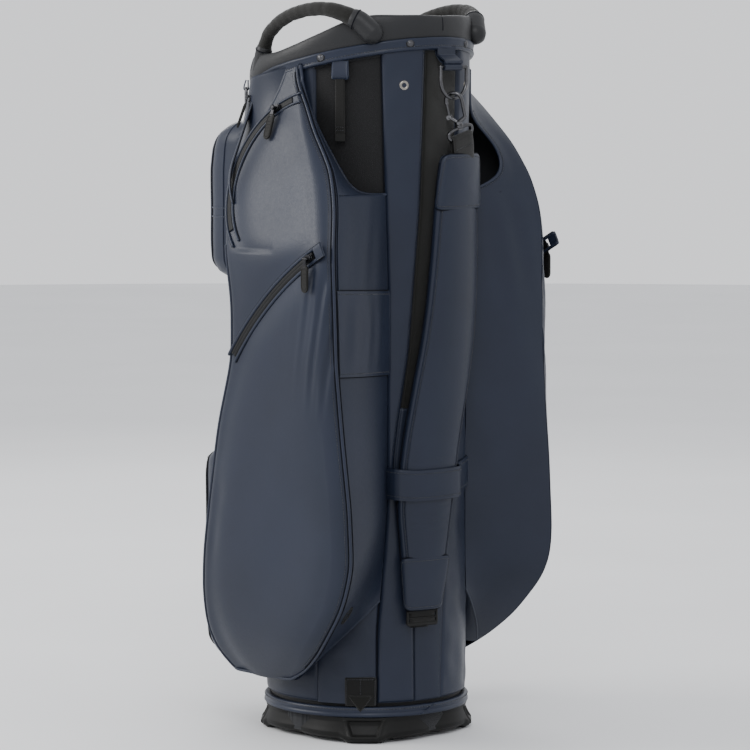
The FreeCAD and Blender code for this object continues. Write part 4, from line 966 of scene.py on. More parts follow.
def divider_pieces():
    """Six-way divider: padded bars under the cuff, hung with cloth."""
    def reach(x=None, y=None):
        rx, ry = CUFF_RX - 12.0, CUFF_RY - 12.0
        if x is None:
            return rx * math.sqrt(1 - ((y - CUFF_Y) / ry) ** 2)
        return ry * math.sqrt(1 - (x / rx) ** 2)

    bars = []
    lines = []
    y0, y1 = CUFF_Y - reach(x=0.0), CUFF_Y + reach(x=0.0)

    def z(y):
        return MOUTH_Z - SLANT * y + 1.5

    for a, b in ((y0, -46.0), (-46.0, 58.0), (58.0, y1)):
        bars.append(capsule_bar((0, a, z(a)), (0, b, z(b)), 6.0, 8.5, (0, 0, 1)))
        lines.append(resample([(0, a, z(a) + 8.7), (0, b, z(b) + 8.7)], 2.0))
    for y in (-46.0, 58.0):
        half = reach(y=y)
        for s in (-1, 1):
            bars.append(capsule_bar((s * half, y, z(y)), (s * 3.0, y, z(y)), 6.0, 8.5, (0, 0, 1)))
            lines.append(resample([(s * half, y, z(y) + 8.7), (s * 3.0, y, z(y) + 8.7)], 2.0))
    verts, faces = joined(bars)
    top = new_piece("divider_bars", verts, faces, CUFF_LEATHER, "lining")
    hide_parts("divider_top")
    stitches("divider_stitches", lines, pitch=4.0, length=2.6, radius=0.45)
    cloths = []
    for p, q in (((0, y0 + 6), (0, y1 - 6)), ((-reach(y=-46.0) + 6, -46.0), (reach(y=-46.0) - 6, -46.0)),
                 ((-reach(y=58.0) + 6, 58.0), (reach(y=58.0) - 6, 58.0))):
        rows, cols = 60, 60
        u = np.linspace(0, 1, cols)[None, :]
        v = np.linspace(0, 1, rows)[:, None]
        x = p[0] + (q[0] - p[0]) * u + 0 * v
        y = p[1] + (q[1] - p[1]) * u + 0 * v
        shrink = 1.0 - 0.05 * v
        centre_y = CUFF_Y * (1 - v)
        x = x * shrink
        y = centre_y + (y - CUFF_Y) * shrink * (1.0 - 0.07 * v)
        top_z = MOUTH_Z - SLANT * y - 6.0
        zz = top_z * (1 - v) + 14.0 * v
        across = np.array(unit((q[1] - p[1], -(q[0] - p[0]), 0.0)))
        wave = 1.6 * np.sin(u * 9.0 + 3 * v) * np.sin(v * 3.1) + 0.8 * np.sin(u * 31 + v * 5)
        pts = np.stack([x, y, zz], -1) + wave[..., None] * across
        cloths.append((pts, across))
    for k, (pts, across) in enumerate(cloths):
        cloth = slab("divider_cloth_%d" % (k + 1), pts + across * 0.4, pts - across * 0.4, LINING, "lining")
        length = np.linalg.norm(np.diff(pts, axis=0), axis=2).sum(axis=0).mean()
        width = np.linalg.norm(np.diff(pts, axis=1), axis=2).sum(axis=1).mean()
        if k == 0:
            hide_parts("divider_panels")


# ---------------------------------------------------------------- handles
GRIP_LINE = ((111.0, 67.0, 838.0), (112.0, 62.0, 849.0), (114.0, 53.0, 863.0), (117.0, 31.0, 876.5),
             (119.0, 8.0, 885.0),
             (119.0, -19.0, 890.5), (118.0, -43.0, 892.0), (115.0, -62.0, 890.0), (109.0, -77.0, 885.0),
             (98.0, -91.0, 876.5))
GRIP_RADIUS = ((0.0, 8.6), (0.12, 8.0), (0.5, 8.0), (0.75, 8.6), (0.9, 10.2), (1.0, 11.2))


def handle_pieces():
    """Soft grips whose ends are sewn into leather sockets of the cuff."""
    line = smoothed(resample(np.array(GRIP_LINE), 0.9), 30)
    t = np.linspace(0, 1, len(line))
    size = np.interp(t, [p[0] for p in GRIP_RADIUS], [p[1] for p in GRIP_RADIUS])
    for word, s in (("left", -1), ("right", 1)):
        grip = mirrored(line, s)
        soft = 0.12 * np.sin(t * 41.0) + 0.1 * np.sin(t * 97.0 + 1.0)
        verts, faces = sweep_mesh(grip, size + soft, 32)
        piece = new_piece(word + "_grip", verts, faces, GRIP_CLOTH, "grip_fabric")
        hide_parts(word + "_handle")
        seam = grip - np.array([s * 0.82, 0, 0.58]) * (size - 0.1)[:, None]
        stitches(word + "_grip_stitches", [seam[6:-6]], pitch=4.2, length=2.6, radius=0.35,
                 slot="grip_fabric")
        boots = []
        rings = []
        for end, following, radius in ((line[0], line[6], 8.6), (line[-1], line[-7], 11.2)):
            out = unit(end - following)
            sink = unit(out + np.array([-0.12, 0.0, -0.5]))
            steps = np.linspace(-5.0, 20.0, 30)[:, None]
            path = np.where(steps < 0, end + out * steps, end + sink * steps)
            path = mirrored(smoothed(path, 4), s)
            k = np.linspace(0, 1, len(path))
            wide = radius + 0.9 + 1.9 * k + 0.5 * np.exp(-(k / 0.08) ** 2)
            boots.append(sweep_mesh(path, wide, 32))
            collar = mirrored(end - out * 5.0, s)
            axis = mirrored(out, s)
            side = unit(np.cross(axis, (0, 0, 1)))
            lift = np.cross(side, axis)
            loop = [collar + (side * math.cos(a) + lift * math.sin(a)) * (radius + 1.0)
                    for a in full_turn(40)]
            rings.append(sweep_mesh(np.array(loop), 1.0, 8, True))
        verts, faces = joined(boots)
        piece = new_piece(word + "_handle_sockets", verts, faces, CUFF_LEATHER, "cuff_leather")
        if s < 0:
            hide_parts("handle_ferrules")
        verts, faces = joined(rings)
        new_piece(word + "_socket_bindings", verts, faces, SEAM_DARK, "black_mould")


# ---------------------------------------------------------------- side pockets (drawn on the right, x > 0)
def pocket_profile():
    rows = sorted(POCKET_STATIONS)
    heights = np.linspace(POCKET_LOW, POCKET_TOP, 747)
    zs = [row[0] for row in rows]
    kernel = np.exp(-(np.arange(-48, 49) / 20.0) ** 2)
    kernel /= kernel.sum()
    columns = []
    for k in (1, 2, 3):
        vals = np.interp(heights, zs, [row[k] for row in rows])
        padded = np.concatenate([2 * vals[0] - vals[48:0:-1], vals, 2 * vals[-1] - vals[-2:-50:-1]])
        columns.append(np.convolve(padded, kernel, mode="same")[48:-48])
    return heights, columns


POCKET_Z, (POCKET_HALF, POCKET_REAR, POCKET_FRONT) = pocket_profile()


# The left pocket's rear edge stands further forward near the top than the right one's
LEFT_FORWARD = table([(60, 0.0), (230, -1.0), (300, -2.0), (390, -1.0), (540, 0.0), (600, 2.0), (643, 5.0),
                      (700, 9.0), (725, 15.0),
                      (750, 19.0), (785, 13.0), (830, 8.0)])
NARROW_REAR = table([(76, -4.0), (130, -4.0), (180, 2.0), (230, 10.0), (300, 9.5), (390, 6.0), (470, 2.0),
                     (540, 0.0), (830, 0.0)])
RIGHT_NARROW = table([(60, 3.0), (166, 4.0), (210, -1.0), (253, 0.0), (297, 2.0), (340, 3.0), (384, 5.0),
                      (428, 8.0), (471, 12.0),
                      (515, 12.5), (558, 14.0), (602, 12.0), (645, 2.0), (689, -6.0), (732, -8.0),
                      (776, -3.0), (800, 0.0), (822, 0.0)])
BUILD_SIDE = {"word": "left"}


def corner_trim(z):
    """How far the pocket's rear corner stands inside its flank; the right one is rounder."""
    right = RIGHT_NARROW(z) if BUILD_SIDE["word"] == "right" else 0.0
    return NARROW_REAR(z), right


def pocket_at(z):
    """Half width, rear edge and front edge of the side pocket that is being built."""
    half = np.interp(z, POCKET_Z, POCKET_HALF)
    rear = np.interp(z, POCKET_Z, POCKET_REAR)
    if BUILD_SIDE["word"] == "left":
        rear = rear + LEFT_FORWARD(z)
    else:
        rear = rear + 0.6 * RIGHT_NARROW(z)
    return half, rear, np.interp(z, POCKET_Z, POCKET_FRONT)


def slant_share(z):
    t = np.clip((np.asarray(z, float) - 740.0) / 82.0, 0, 1)
    return t * t * (3 - 2 * t)


def settle(points, z):
    """Slants the top rows with the mouth, keeping every point on the pocket's own face."""
    out = points.copy()
    shift = -SLANT * points[..., 1] * slant_share(z)
    out[..., 2] = points[..., 2] + shift
    half0 = np.interp(points[..., 2], POCKET_Z, POCKET_HALF)
    half1 = np.interp(np.clip(out[..., 2], POCKET_LOW, POCKET_TOP), POCKET_Z, POCKET_HALF)
    out[..., 0] += (half1 - half0) * np.clip((points[..., 0] - 110.0) / 20.0, 0, 1)
    return out


def rear_edge(z):
    """Rear piping line of the side pocket."""
    half, rear, _ = pocket_at(z)
    k = np.clip((half - POCKET_INNER_X) / 40.0, 0.06, 1.0)
    both, own = corner_trim(z)
    points = np.stack(np.broadcast_arrays(half - 10.0 * k - both - own, rear, np.asarray(z, float)), -1)
    return settle(points, z)


def front_edge(z):
    half, _, front = pocket_at(z)
    k = np.clip((half - POCKET_INNER_X) / 40.0, 0.06, 1.0)
    points = np.stack(np.broadcast_arrays(half - 5.0 * k, front + 2.0 * k, np.asarray(z, float)), -1)
    return settle(points, z)


def bezier(a, b, c, count, last=False):
    t = np.linspace(0, 1, count + (0 if last else 1))
    if not last:
        t = t[:-1]
    t = t[:, None]
    return (1 - t) ** 2 * a + 2 * t * (1 - t) * b + t * t * c


def pocket_row(z):
    half, rear, front = (float(v) for v in pocket_at(z))
    k = min(1.0, max(0.06, (half - POCKET_INNER_X) / 40.0))
    ch = 10.0 * k
    top = float(np.clip((z - 760.0) / 62.0, 0, 1))
    narrow, own = (float(v) for v in corner_trim(np.array(z)))
    p1 = np.array([half - ch - narrow - own, rear])
    p2 = np.array([half - 0.9 * narrow - (0.15 if own > 0 else 0.5) * own, rear + 2.0 * ch + 0.15 * abs(own)])
    p3 = np.array([half, front - 8.0 * k])
    p4 = np.array([half - 5.0 * k, front + 2.0 * k])
    p5 = np.array([101.0 + 3.0 * top, 112.0 - 24.0 * top])
    a = math.radians(146.0)
    rx, ry, cy = tube_size(z)
    p6 = np.array([(rx + 4.0) * math.sin(a), cy - (ry + 4.0) * math.cos(a)])
    middle = (p4 + p5) / 2
    normal = unit(np.array([p5[1] - p4[1], -(p5[0] - p4[0])]))
    bulge = 5.0 + 14.0 * float(np.clip((z - 745.0) / 75.0, 0, 1))
    t = ease(58)[:, None]
    row = np.concatenate([
        bezier(p1, np.array([half - 1.0 * k - narrow - 0.55 * own, rear + 0.6 * ch + 0.2 * max(own, 0.0)]),
               p2, 10),
        (p2 + (p3 - p2) * t)[:-1],
        bezier(p3, np.array([half, front + 0.5 * k]), p4, 8),
        bezier(p4, middle + normal * 2 * bulge, p5, 32),
        bezier(p5, p5 * 0.55 + p6 * 0.45 + np.array([1.5, 4.0]), p6, 9, last=True),
    ])
    return row


def arc_distance(y, z, centre, radius):
    return np.sqrt((y - centre[0]) ** 2 + (z - centre[1]) ** 2) - radius


def saturate(d, reach):
    return 1.0 - np.exp(-(np.maximum(d, 0.0) / reach) ** 2)


def pocket_swell(points, z):
    """Stuffing of the outer face: a crown in each panel, folds under the cooler zip's garage."""
    y, zz = points[..., 1], points[..., 2]
    _, rear, front = pocket_at(z)
    e_rear = y - rear
    e_front = front - y
    cool = arc_distance(y, zz, *COOLER_CIRCLE)
    app = arc_distance(y, zz, *APPAREL_CIRCLE)
    near_app = np.where((y > -45.0) & (zz > 600.0), np.abs(app), 80.0)
    s = saturate(e_rear, 30.0) * saturate(e_front, 26.0) * saturate(np.abs(cool), 24.0) * saturate(near_app,
            20.0)
    swell = 5.0 * s * (0.75 + 0.25 * np.exp(-((zz - 330.0) / 160.0) ** 2))
    fade = np.exp(-(np.maximum(0, e_rear - 4.0) / 34.0) ** 2) * (cool <
            -8.0) * np.clip((-cool - 8.0) / 16.0, 0, 1)
    low = np.clip((zz - 400.0) / 60.0, 0, 1) * np.clip((585.0 - zz) / 25.0, 0, 1)
    slope = e_rear - 0.16 * (560.0 - zz)
    folds = np.sin(slope * 0.36 + 0.6) + 0.5 * np.sin(slope * 0.62 + zz * 0.02)
    swell = swell + 1.25 * folds * fade * low
    dent = np.exp(-((e_front - 16.0) / 9.0) ** 2 - ((zz - 250.0) / 30.0) ** 2) + 0.8 * np.exp(
        -((e_front - 18.0) / 10.0) ** 2 - ((zz - 300.0) / 22.0) ** 2)
    swell = swell - 1.4 * dent
    soft = saturate(e_rear, 18.0) * saturate(e_front, 16.0)
    return swell, soft


def tucked_rows(row, radius, rise, sag, shares):
    """Rows that carry a panel's lowest row back to the tube, sagging on the way."""
    a = np.arctan2(row[:, 0], -row[:, 1])
    target = np.stack([radius * np.sin(a), -radius * np.cos(a), row[:, 2] + rise], -1)
    rows = []
    for t in shares:
        blend = row * (1 - t) + target * t
        blend[:, 2] -= sag * math.sin(math.pi * t)
        rows.append(blend)
    return np.array(rows)


def pocket_grid():
    heights = np.concatenate([np.linspace(76.0, 120.0, 26)[:-1], np.linspace(120.0, 640.0, 170)[:-1],
                              np.linspace(640.0, 822.0, 84)])
    plan = [pocket_row(z) for z in heights]
    points = np.array([[(x, y, z) for x, y in row] for row, z in zip(plan, heights)])
    zz = np.repeat(heights[:, None], points.shape[1], axis=1)
    points = settle(points, zz)
    swell, soft = pocket_swell(points, zz)
    normal = grid_normals(points)
    if np.sum(normal[..., 0]) < 0:
        normal = -normal
    flat = np.zeros(points.shape[1], bool)
    flat[:75] = True
    lift = np.where(flat[None, :], swell, 0.0) + ripple(points, 0.4, 0.012, 21) * soft
    flank = np.sin(np.linspace(0, np.pi, 32)) ** 0.7
    lift[:, 75:107] += 1.5 * flank[None, :] + 0.5 * np.sin(points[:, 75:107, 2] * 0.035) * flank[None, :]
    points = points + normal * lift[..., None]
    return np.concatenate([tucked_rows(points[0], 119.6, 7.0, 3.2, (1.0, 0.8, 0.6, 0.4, 0.22, 0.08)), points])


LEFT_OPENING = ((71.8, -106.4, 669.0), (82.0, -103.0, 668.6), (92.0, -97.0, 669.0), (101.0, -88.0, 672.0),
                (107.0, -77.0, 684.0),
                (112.0, -66.0, 704.0), (118.0, -54.0, 727.0), (124.0, -42.0, 752.0), (128.5, -32.0, 780.0),
                (131.0, -25.0, 808.0),
                (131.5, -22.0, 826.0))
# Hand opening of the right pocket: height, and share of the way from the seam to the rear edge
RIGHT_OPENING = ((669.0, 0.0), (669.6, 0.10), (671.0, 0.18), (675.0, 0.30), (684.0, 0.45), (698.0, 0.57),
                 (711.0, 0.605), (720.0, 0.60),
                 (740.0, 0.47), (753.0, 0.27), (762.0, 0.10), (775.0, 0.03), (800.0, 0.02), (826.0, 0.02))


def opening_height(f):
    """Height of the right opening's edge, which the panel's rows follow."""
    return OPENING_LOW + (POCKET_TOP - OPENING_LOW) * np.clip(np.asarray(f, float) - 1.0, 0, 1) ** 1.8


def gusset_inner(f):
    """Inner boundary of the rear gusset: spine seam, then the hand opening's edge. f runs 0..1..2."""
    f = np.asarray(f, float)
    seam_z = 175.0 + (OPENING_LOW - 175.0) * np.clip(f, 0, 1)
    seam = tube(SEAM(seam_z), seam_z, 5.2)
    if BUILD_SIDE["word"] == "left":
        opening = smoothed(resample(np.array(LEFT_OPENING), 4.0), 5)
        k = np.clip(f - 1.0, 0, 1) * (len(opening) - 1)
        upper = np.stack([np.interp(k, np.arange(len(opening)), opening[:, axis]) for axis in range(3)], -1)
    else:
        z = opening_height(f)
        share = table(RIGHT_OPENING)(z)[..., None]
        upper = tube(SEAM(z), z, 5.2) * (1 - share) + rear_edge(z) * share
    return np.where((f > 1.0)[..., None], upper, seam)


def gusset_outer(f):
    """Outer boundary of the rear gusset, along the pocket's rear piping."""
    f = np.asarray(f, float)
    above = OPENING_LOW + (POCKET_TOP - OPENING_LOW) * np.clip((f - 1.06) / 0.94, 0, 1)
    if BUILD_SIDE["word"] == "right":
        above = opening_height(f)
    return rear_edge(np.where(f <= 1.0, GUSSET_LOW + (OPENING_LOW - GUSSET_LOW) * f, above))


def gusset_between(a, b, u, lift=0.0):
    """Softly arched surface between two boundary lines."""
    b = b + np.array([-1.2, 0.6, 0.0])
    points = a + (b - a) * u[..., None]
    out = b - a
    normal = np.stack([out[..., 1], -out[..., 0], 0 * out[..., 0]], -1)
    normal /= np.linalg.norm(normal, axis=-1, keepdims=True) + 1e-9
    normal = np.where((normal[..., 1] > 0)[..., None], -normal, normal)
    width = np.linalg.norm(out, axis=-1)
    z = points[..., 2]
    arch = 0.045 * width * 4 * u * (1 - u)
    if BUILD_SIDE["word"] == "right":
        arch = arch * np.clip((672.0 - z) / 110.0, 0.0, 1.0) ** 0.8
    gathers = 0.9 * np.exp(-((z - 600.0) / 60.0) ** 2) * np.sin(u * 17.0 + z * 0.03) * u * (1 - u) * 4
    gathers = gathers + 0.7 * np.sin(z * 0.021 + u * 5.0) * u * (1 - u) * 4
    if BUILD_SIDE["word"] == "right":
        gathers = gathers - 3.0 * np.exp(-((z - 345.0) / 26.0) ** 2 - ((u - 0.12) / 0.16) ** 2)
        gathers = gathers + 1.2 * np.sin((z + 70.0 * u)
                * 0.052) * np.exp(-((z - 330.0) / 70.0) ** 2) * np.exp(-(u / 0.4) ** 2)
    return points + normal * (arch + gathers + lift)[..., None]


def gusset_point(f, u, lift=0.0):
    """Points of the rear gusset: f up the panel, u from the spine seam (0) to the rear piping (1)."""
    f, u = np.broadcast_arrays(np.asarray(f, float), np.asarray(u, float))
    return gusset_between(gusset_inner(f), gusset_outer(f), u, lift)


def side_pocket_pieces(word, s):
    BUILD_SIDE["word"] = word
    grid = mirrored(pocket_grid(), s)
    normal = outward(grid, grid_normals(grid))
    face = slab(word + "_pocket_face", grid, grid - normal * 2.0, NAVY, "navy_leather")
    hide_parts(word + "_side_pocket")
    # Rear gusset with the hand opening
    f = np.concatenate([np.linspace(0, 1, 150)[:-1], np.linspace(1, 2, 70)])
    u = ease(44)
    gusset = gusset_point(f[:, None], u[None, :])
    tuck = tucked_rows(gusset[0], 119.8, 10.0, 2.5, (1.0, 0.8, 0.6, 0.4, 0.2))
    gusset = mirrored(np.concatenate([tuck, gusset]), s)
    normal = outward(gusset, grid_normals(gusset))
    sheet_piece = slab(word + "_gusset", gusset + normal * 0.8, gusset - normal * 1.2, NAVY_SOFT,
                       "navy_leather")
    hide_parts(word + "_sleeve_panel")
    pocket_lining(word, s)
    if word == "left":
        cart_strap_band(s)
    pocket_trim(word, s)


def pocket_lining(word, s):
    """Inner wall between the sleeve and the pocket, and the sleeve's floor."""
    zs = np.linspace(98.0, 818.0, 120)
    p1 = rear_edge(zs) + np.array([-2.0, 1.5, 0])
    p0 = p1.copy()
    p0[:, 0] = 126.0
    p0[:, 1] = np.maximum(-40.0, p1[:, 1] + 18.0)
    base = tube(74.0, zs, 1.0)
    wall = [p1 * (1 - t) + p0 * t for t in np.linspace(0, 1, 14)]
    wall += [p0 * (1 - t) + base * t for t in np.linspace(0.1, 1, 8)]
    wall = mirrored(np.array(wall).transpose(1, 0, 2), s)
    slab(word + "_pocket_wall", wall, wall + np.array([0, 1.2, 0]), LINING, "lining")
    floor_z = 420.0
    corners = [tube(SEAM(floor_z), floor_z, 1.0), tube(56.0, floor_z, 1.0), tube(73.0, floor_z, 1.0)]
    far = [rear_edge(floor_z) + np.array([-3.0, 2.0, 0]),
           (rear_edge(floor_z) * 0.5 + np.array([126.0, -40.0, floor_z]) * 0.5),
           np.array([126.0, -40.0, floor_z])]
    t = np.linspace(0, 1, 12)[:, None, None]
    floor = np.array(corners)[None] * (1 - t) + np.array(far)[None] * t
    floor = floor + np.array([0, 0, -3.0]) * np.sin(np.pi * t)
    floor = mirrored(floor, s)
    slab(word + "_sleeve_floor", floor, floor - np.array([0, 0, 1.5]), LINING, "lining")


def pocket_trim(word, s):
    """Piping, painted seam shadows and stitches. Only the left pocket has piping along its rear edge."""
    bottom = [(x + 0.6, y, 77.0) for x, y in pocket_row(78.0)[6:78]]
    front = front_edge(np.linspace(84.0, 606.0, 200)) + np.array([1.2, 1.2, 0.0])
    parts = [np.array(bottom), front]
    if word == "left":
        zs = np.concatenate([np.linspace(818.0, 660.0, 90), np.linspace(655.0, 90.0, 220)])
        parts.insert(0, rear_edge(zs) + np.array([0.6, -1.6, 0.0]))
    loop = mirrored(smoothed(resample(np.concatenate(parts), 2.4), 8), s)
    pipe(word + "_piping", loop, 1.9, NAVY_EDGE, "navy_leather", sides=10)
    if word == "left":
        zs = np.linspace(812.0, 96.0, 300)
        out_line = rear_edge(zs) + np.array([-2.2, -2.6, 0.0])
        in_line = rear_edge(zs) + np.array([2.3, 0.4, 0.0])
        pipes(word + "_seam_shadows", [mirrored(out_line, s), mirrored(in_line, s)], 0.75, SEAM_DARK,
              "navy_leather", sides=6)
        line = rear_edge(zs) + np.array([4.6, 3.4, 0.0])
        stitches(word + "_rear_stitches", [mirrored(smoothed(line, 3), s)], pitch=3.4, length=2.3,
                 radius=0.38)
        f = np.linspace(1.96, 0.75, 200)
        second = gusset_point(f, np.interp(f, [0.7, 1.0, 1.4, 2.0], [0.955, 0.94, 0.86, 0.70]), 0.6)
        # Dark line along the second seam, beside the second piping: painted shadow
        pipe(word + "_second_seam_shadow", mirrored(smoothed(second, 4), s), 0.8, SEAM_DARK, "navy_leather", sides=6)
        pipe(word + "_second_piping", mirrored(smoothed(second + np.array([-1.0, -1.0, 0.0]), 4), s), 1.1,
             NAVY_EDGE, "navy_leather", sides=8)
    # Opening edge: rolled binding and stitches
    fo = np.linspace(1.0, 1.985, 120)
    edge = mirrored(resample(gusset_point(fo, np.zeros(120), 0.6), 2.4), s)
    pipe(word + "_opening_binding", edge, 1.9, NAVY_EDGE, "navy_leather", sides=10)
    inset = mirrored(gusset_point(fo[:96], np.interp(fo[:96], [1, 1.2, 2], [0.05, 0.09, 0.16]), 1.7), s)
    stitches(word + "_opening_stitches", [inset], pitch=3.4, length=2.3, radius=0.38)
    # Lower seam of the gusset
    low = mirrored(gusset_point(np.zeros(60), np.linspace(0, 0.98, 60), 0.2), s)
    pipe(word + "_gusset_hem", low, 1.4, NAVY_EDGE, "navy_leather", sides=8)


def cart_strap_band(s):
    """Second layer over the left gusset, stitched along both long edges."""
    v = np.linspace(0.0, 1.0, 50)
    u = np.linspace(0.0, 0.985, 44)
    low, high = (451.0, 553.5), (457.0, 560.0)
    z_in = low[0] + (low[1] - low[0]) * v
    z_out = high[0] + (high[1] - high[0]) * v
    band = gusset_between(tube(SEAM(z_in), z_in, 5.2)[:, None], rear_edge(z_out)[:, None],
                          np.broadcast_to(u, (50, 44)), 2.0)
    band = mirrored(band, s)
    normal = outward(band, grid_normals(band))
    rise, _ = edge_rise(band, 2.5, (False, False, True, True))
    loose = 1.6 * np.sin(np.pi * v)[:, None] * np.sin(np.pi * u)[None, :]
    folds = 0.5 * np.sin(u * 26.0 + 2.0 * v[:, None]) * np.sin(np.pi * v)[:, None]
    strap = slab("left_cart_band", band + normal * (0.5 + 1.0 * rise + loose + folds)[..., None],
                 band - normal * 1.4, NAVY, "navy_leather")
    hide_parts("left_cart_strap_band")
    lines = [band[k][1:-1] + normal[k][1:-1] * 1.9 for k in (2, -3)]
    stitches("left_cart_band_stitches", lines, pitch=3.4, length=2.3, radius=0.4)
    # Dark lines along the band's top and bottom edges: painted shadow of the band
    edges = [band[0][1:] + normal[0][1:] * 0.1, band[-1][1:] + normal[-1][1:] * 0.1]
    pipes("left_cart_band_edge_shadows", edges, 0.8, SEAM_DARK, "navy_leather", sides=6)


# ---------------------------------------------------------------- zips
def ribbon(name, path, across, normal, width, thick, material, slot, lift=0.0, groove=True, body="bag"):
    """Convex tape along a path with a seam down its middle."""
    u = np.linspace(-1, 1, 15)
    crown = thick * (1.0 - np.abs(u) ** 4) - (0.45 * np.exp(-(u / 0.07) ** 2) if groove else 0.0)
    outer = path[:, None] + across[:, None] * (u * width / 2)[None, :, None] + normal[:,
            None] * (lift + crown)[None, :, None]
    inner = path[:, None] + across[:, None] * (u * width / 2)[None, :, None] + normal[:,
            None] * (lift - 0.4) * np.ones((1, 15, 1))
    return slab(name, outer, inner, material, slot, body)


def zip_arc(points, s, before, after):
    """Arc through three points, run on by some millimetres at both ends, with its frame."""
    centre, radius, normal = circle_through(*points)
    if normal[0] < 0:
        normal = -normal
    start = np.array(points[0]) - centre
    end = np.array(points[2]) - centre
    total = math.atan2(np.dot(np.cross(start, end), normal), start.dot(end))
    sign = 1 if total > 0 else -1
    a0 = -before / radius * sign
    a1 = total + after / radius * sign
    count = int(abs(a1 - a0) * radius / 1.5)
    angles = np.linspace(a0, a1, count)
    side = np.cross(normal, start)
    path = np.array([centre + start * math.cos(a) + side * math.sin(a) for a in angles])
    radial = path - centre
    radial /= np.linalg.norm(radial, axis=1, keepdims=True)
    plane = np.repeat(normal[None], count, 0)
    return mirrored(path, s), mirrored(radial, s), mirrored(plane, s)


def zip_lips(name, path, across, normal, width, radius, lift=0.4):
    """Rolled lips on both sides of a tape, each with a line of painted shadow outside it."""
    for ending, share, rise, size, material, sides in (("", 0.9, lift, radius, NAVY_EDGE, 10),
                                                       ("_shadow", 2.1, lift - 0.6, 0.7, SEAM_DARK, 6)):
        offset = across * (width / 2 + radius * share)
        lines = [path + offset + normal * rise, path - offset + normal * rise]
        pipes(name + ending, lines, size, material, "navy_leather", sides=sides)


def valuables_frame():
    """Both ends, the direction and the outward direction of the left pocket's straight zip."""
    start, end = (np.array(p) for p in VALUABLES_LINE)
    along = unit(end - start)
    out = np.array([-0.72, 0.62, 0.31])
    return start, end, along, unit(out - along * out.dot(along))


def zip_tape_pieces():
    for word, s in (("right", 1), ("left", -1)):
        path, across, normal = zip_arc(APPAREL_ARC, s, 26.0, 6.0)
        tape = ribbon(word + "_apparel_tape", path, across, normal, 8.0, 1.0, TAPE_RUBBER, "zip_tape", 0.4)
        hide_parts(word + "_zip_tapes")
        path, across, normal = zip_arc(APPAREL_ARC, s, 38.0, 26.0)
        zip_lips(word + "_apparel_lips", path, across, normal, 8.0, 1.6)
        path, across, normal = zip_arc(COOLER_ARC, s, 8.0, 4.0)
        ribbon(word + "_cooler_tape", path, across, normal, 10.0, 1.0, TAPE_RUBBER, "zip_tape", 0.4)
        path, across, normal = zip_arc(COOLER_ARC, s, 24.0, 9.0)
        zip_lips(word + "_cooler_lips", path, across, normal, 10.0, 1.9)
        # Garage patch over the zip's upper end
        path, across, normal = zip_arc(COOLER_ARC, s, 26.0, 0.0)
        head = path[:10]
        u = np.linspace(-1, 1, 13)
        outer = head[:, None] + across[:10, None] * (u * 8.6)[None, :, None] + normal[:10,
                None] * (2.9 - 1.2 * u ** 4)[None, :, None]
        inner = head[:, None] + across[:10, None] * (u * 8.6)[None, :, None] + normal[:10,
                None] * 0.2 * np.ones((1, 13, 1))
        slab(word + "_cooler_garage", outer, inner, NAVY, "navy_leather")
    start, end, along, out = valuables_frame()
    side = unit(np.cross(out, along))
    path = start + along * np.linspace(-14.0, np.linalg.norm(end - start) + 60.0, 90)[:, None]
    sag = np.clip((np.arange(90) - 56) / 33.0, 0, 1)[:, None] ** 2
    path = path + sag * np.array([[9.0, -14.0, 0.0]])
    across = np.repeat(side[None], 90, 0)
    normal = np.repeat(out[None], 90, 0)
    ribbon("left_valuables_tape", path[:64], across[:64], normal[:64], 8.0, 1.0, TAPE_RUBBER, "zip_tape", 0.0)
    zip_lips("left_valuables_lips", path, across, normal, 8.0, 1.6, 0.0)
    for name, y, z, half, _ in FRONT_ZIPS:
        path = np.stack([np.linspace(-half, half, 90), np.full(90, y), np.full(90, z)], 1)
        across = np.repeat(np.array([[0, 0, 1.0]]), 90, 0)
        normal = np.repeat(np.array([[0, 1.0, 0]]), 90, 0)
        tape = ribbon(name + "_tape", path, across, normal, 8.0, 1.0, TAPE_RUBBER, "zip_tape", 0.0)
        if name == "ball":
            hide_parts("front_zip_tapes")
        zip_lips(name + "_lips", path, across, normal, 8.0, 1.8, 0.2)


def slider_parts(stud):
    """Zip slider in its own frame: x along the tape, z away from it."""
    low = [(-6.3, -2.4), (-3.5, -3.9), (2.0, -4.4), (6.3, -3.4), (6.4, 0), (6.3, 3.4), (2.0, 4.4),
           (-3.5, 3.9), (-6.3, 2.4), (-6.5, 0)]
    parts = [extruded(low, 0.0, 1.4, 0.3), extruded([(x * 0.8, y * 0.45) for x, y in low], 1.2, 2.8, 0.1),
             extruded([(x * 0.96, y * 0.95) for x, y in low], 2.6, 4.0, 0.45)]
    if stud:
        parts.append(turned([(0, 3.6), (1.7, 3.6), (1.7, 7.2), (3.0, 7.3), (3.2, 7.8), (2.8, 8.3),
                             (1.6, 8.6), (0, 8.7)], 24))
    return parts


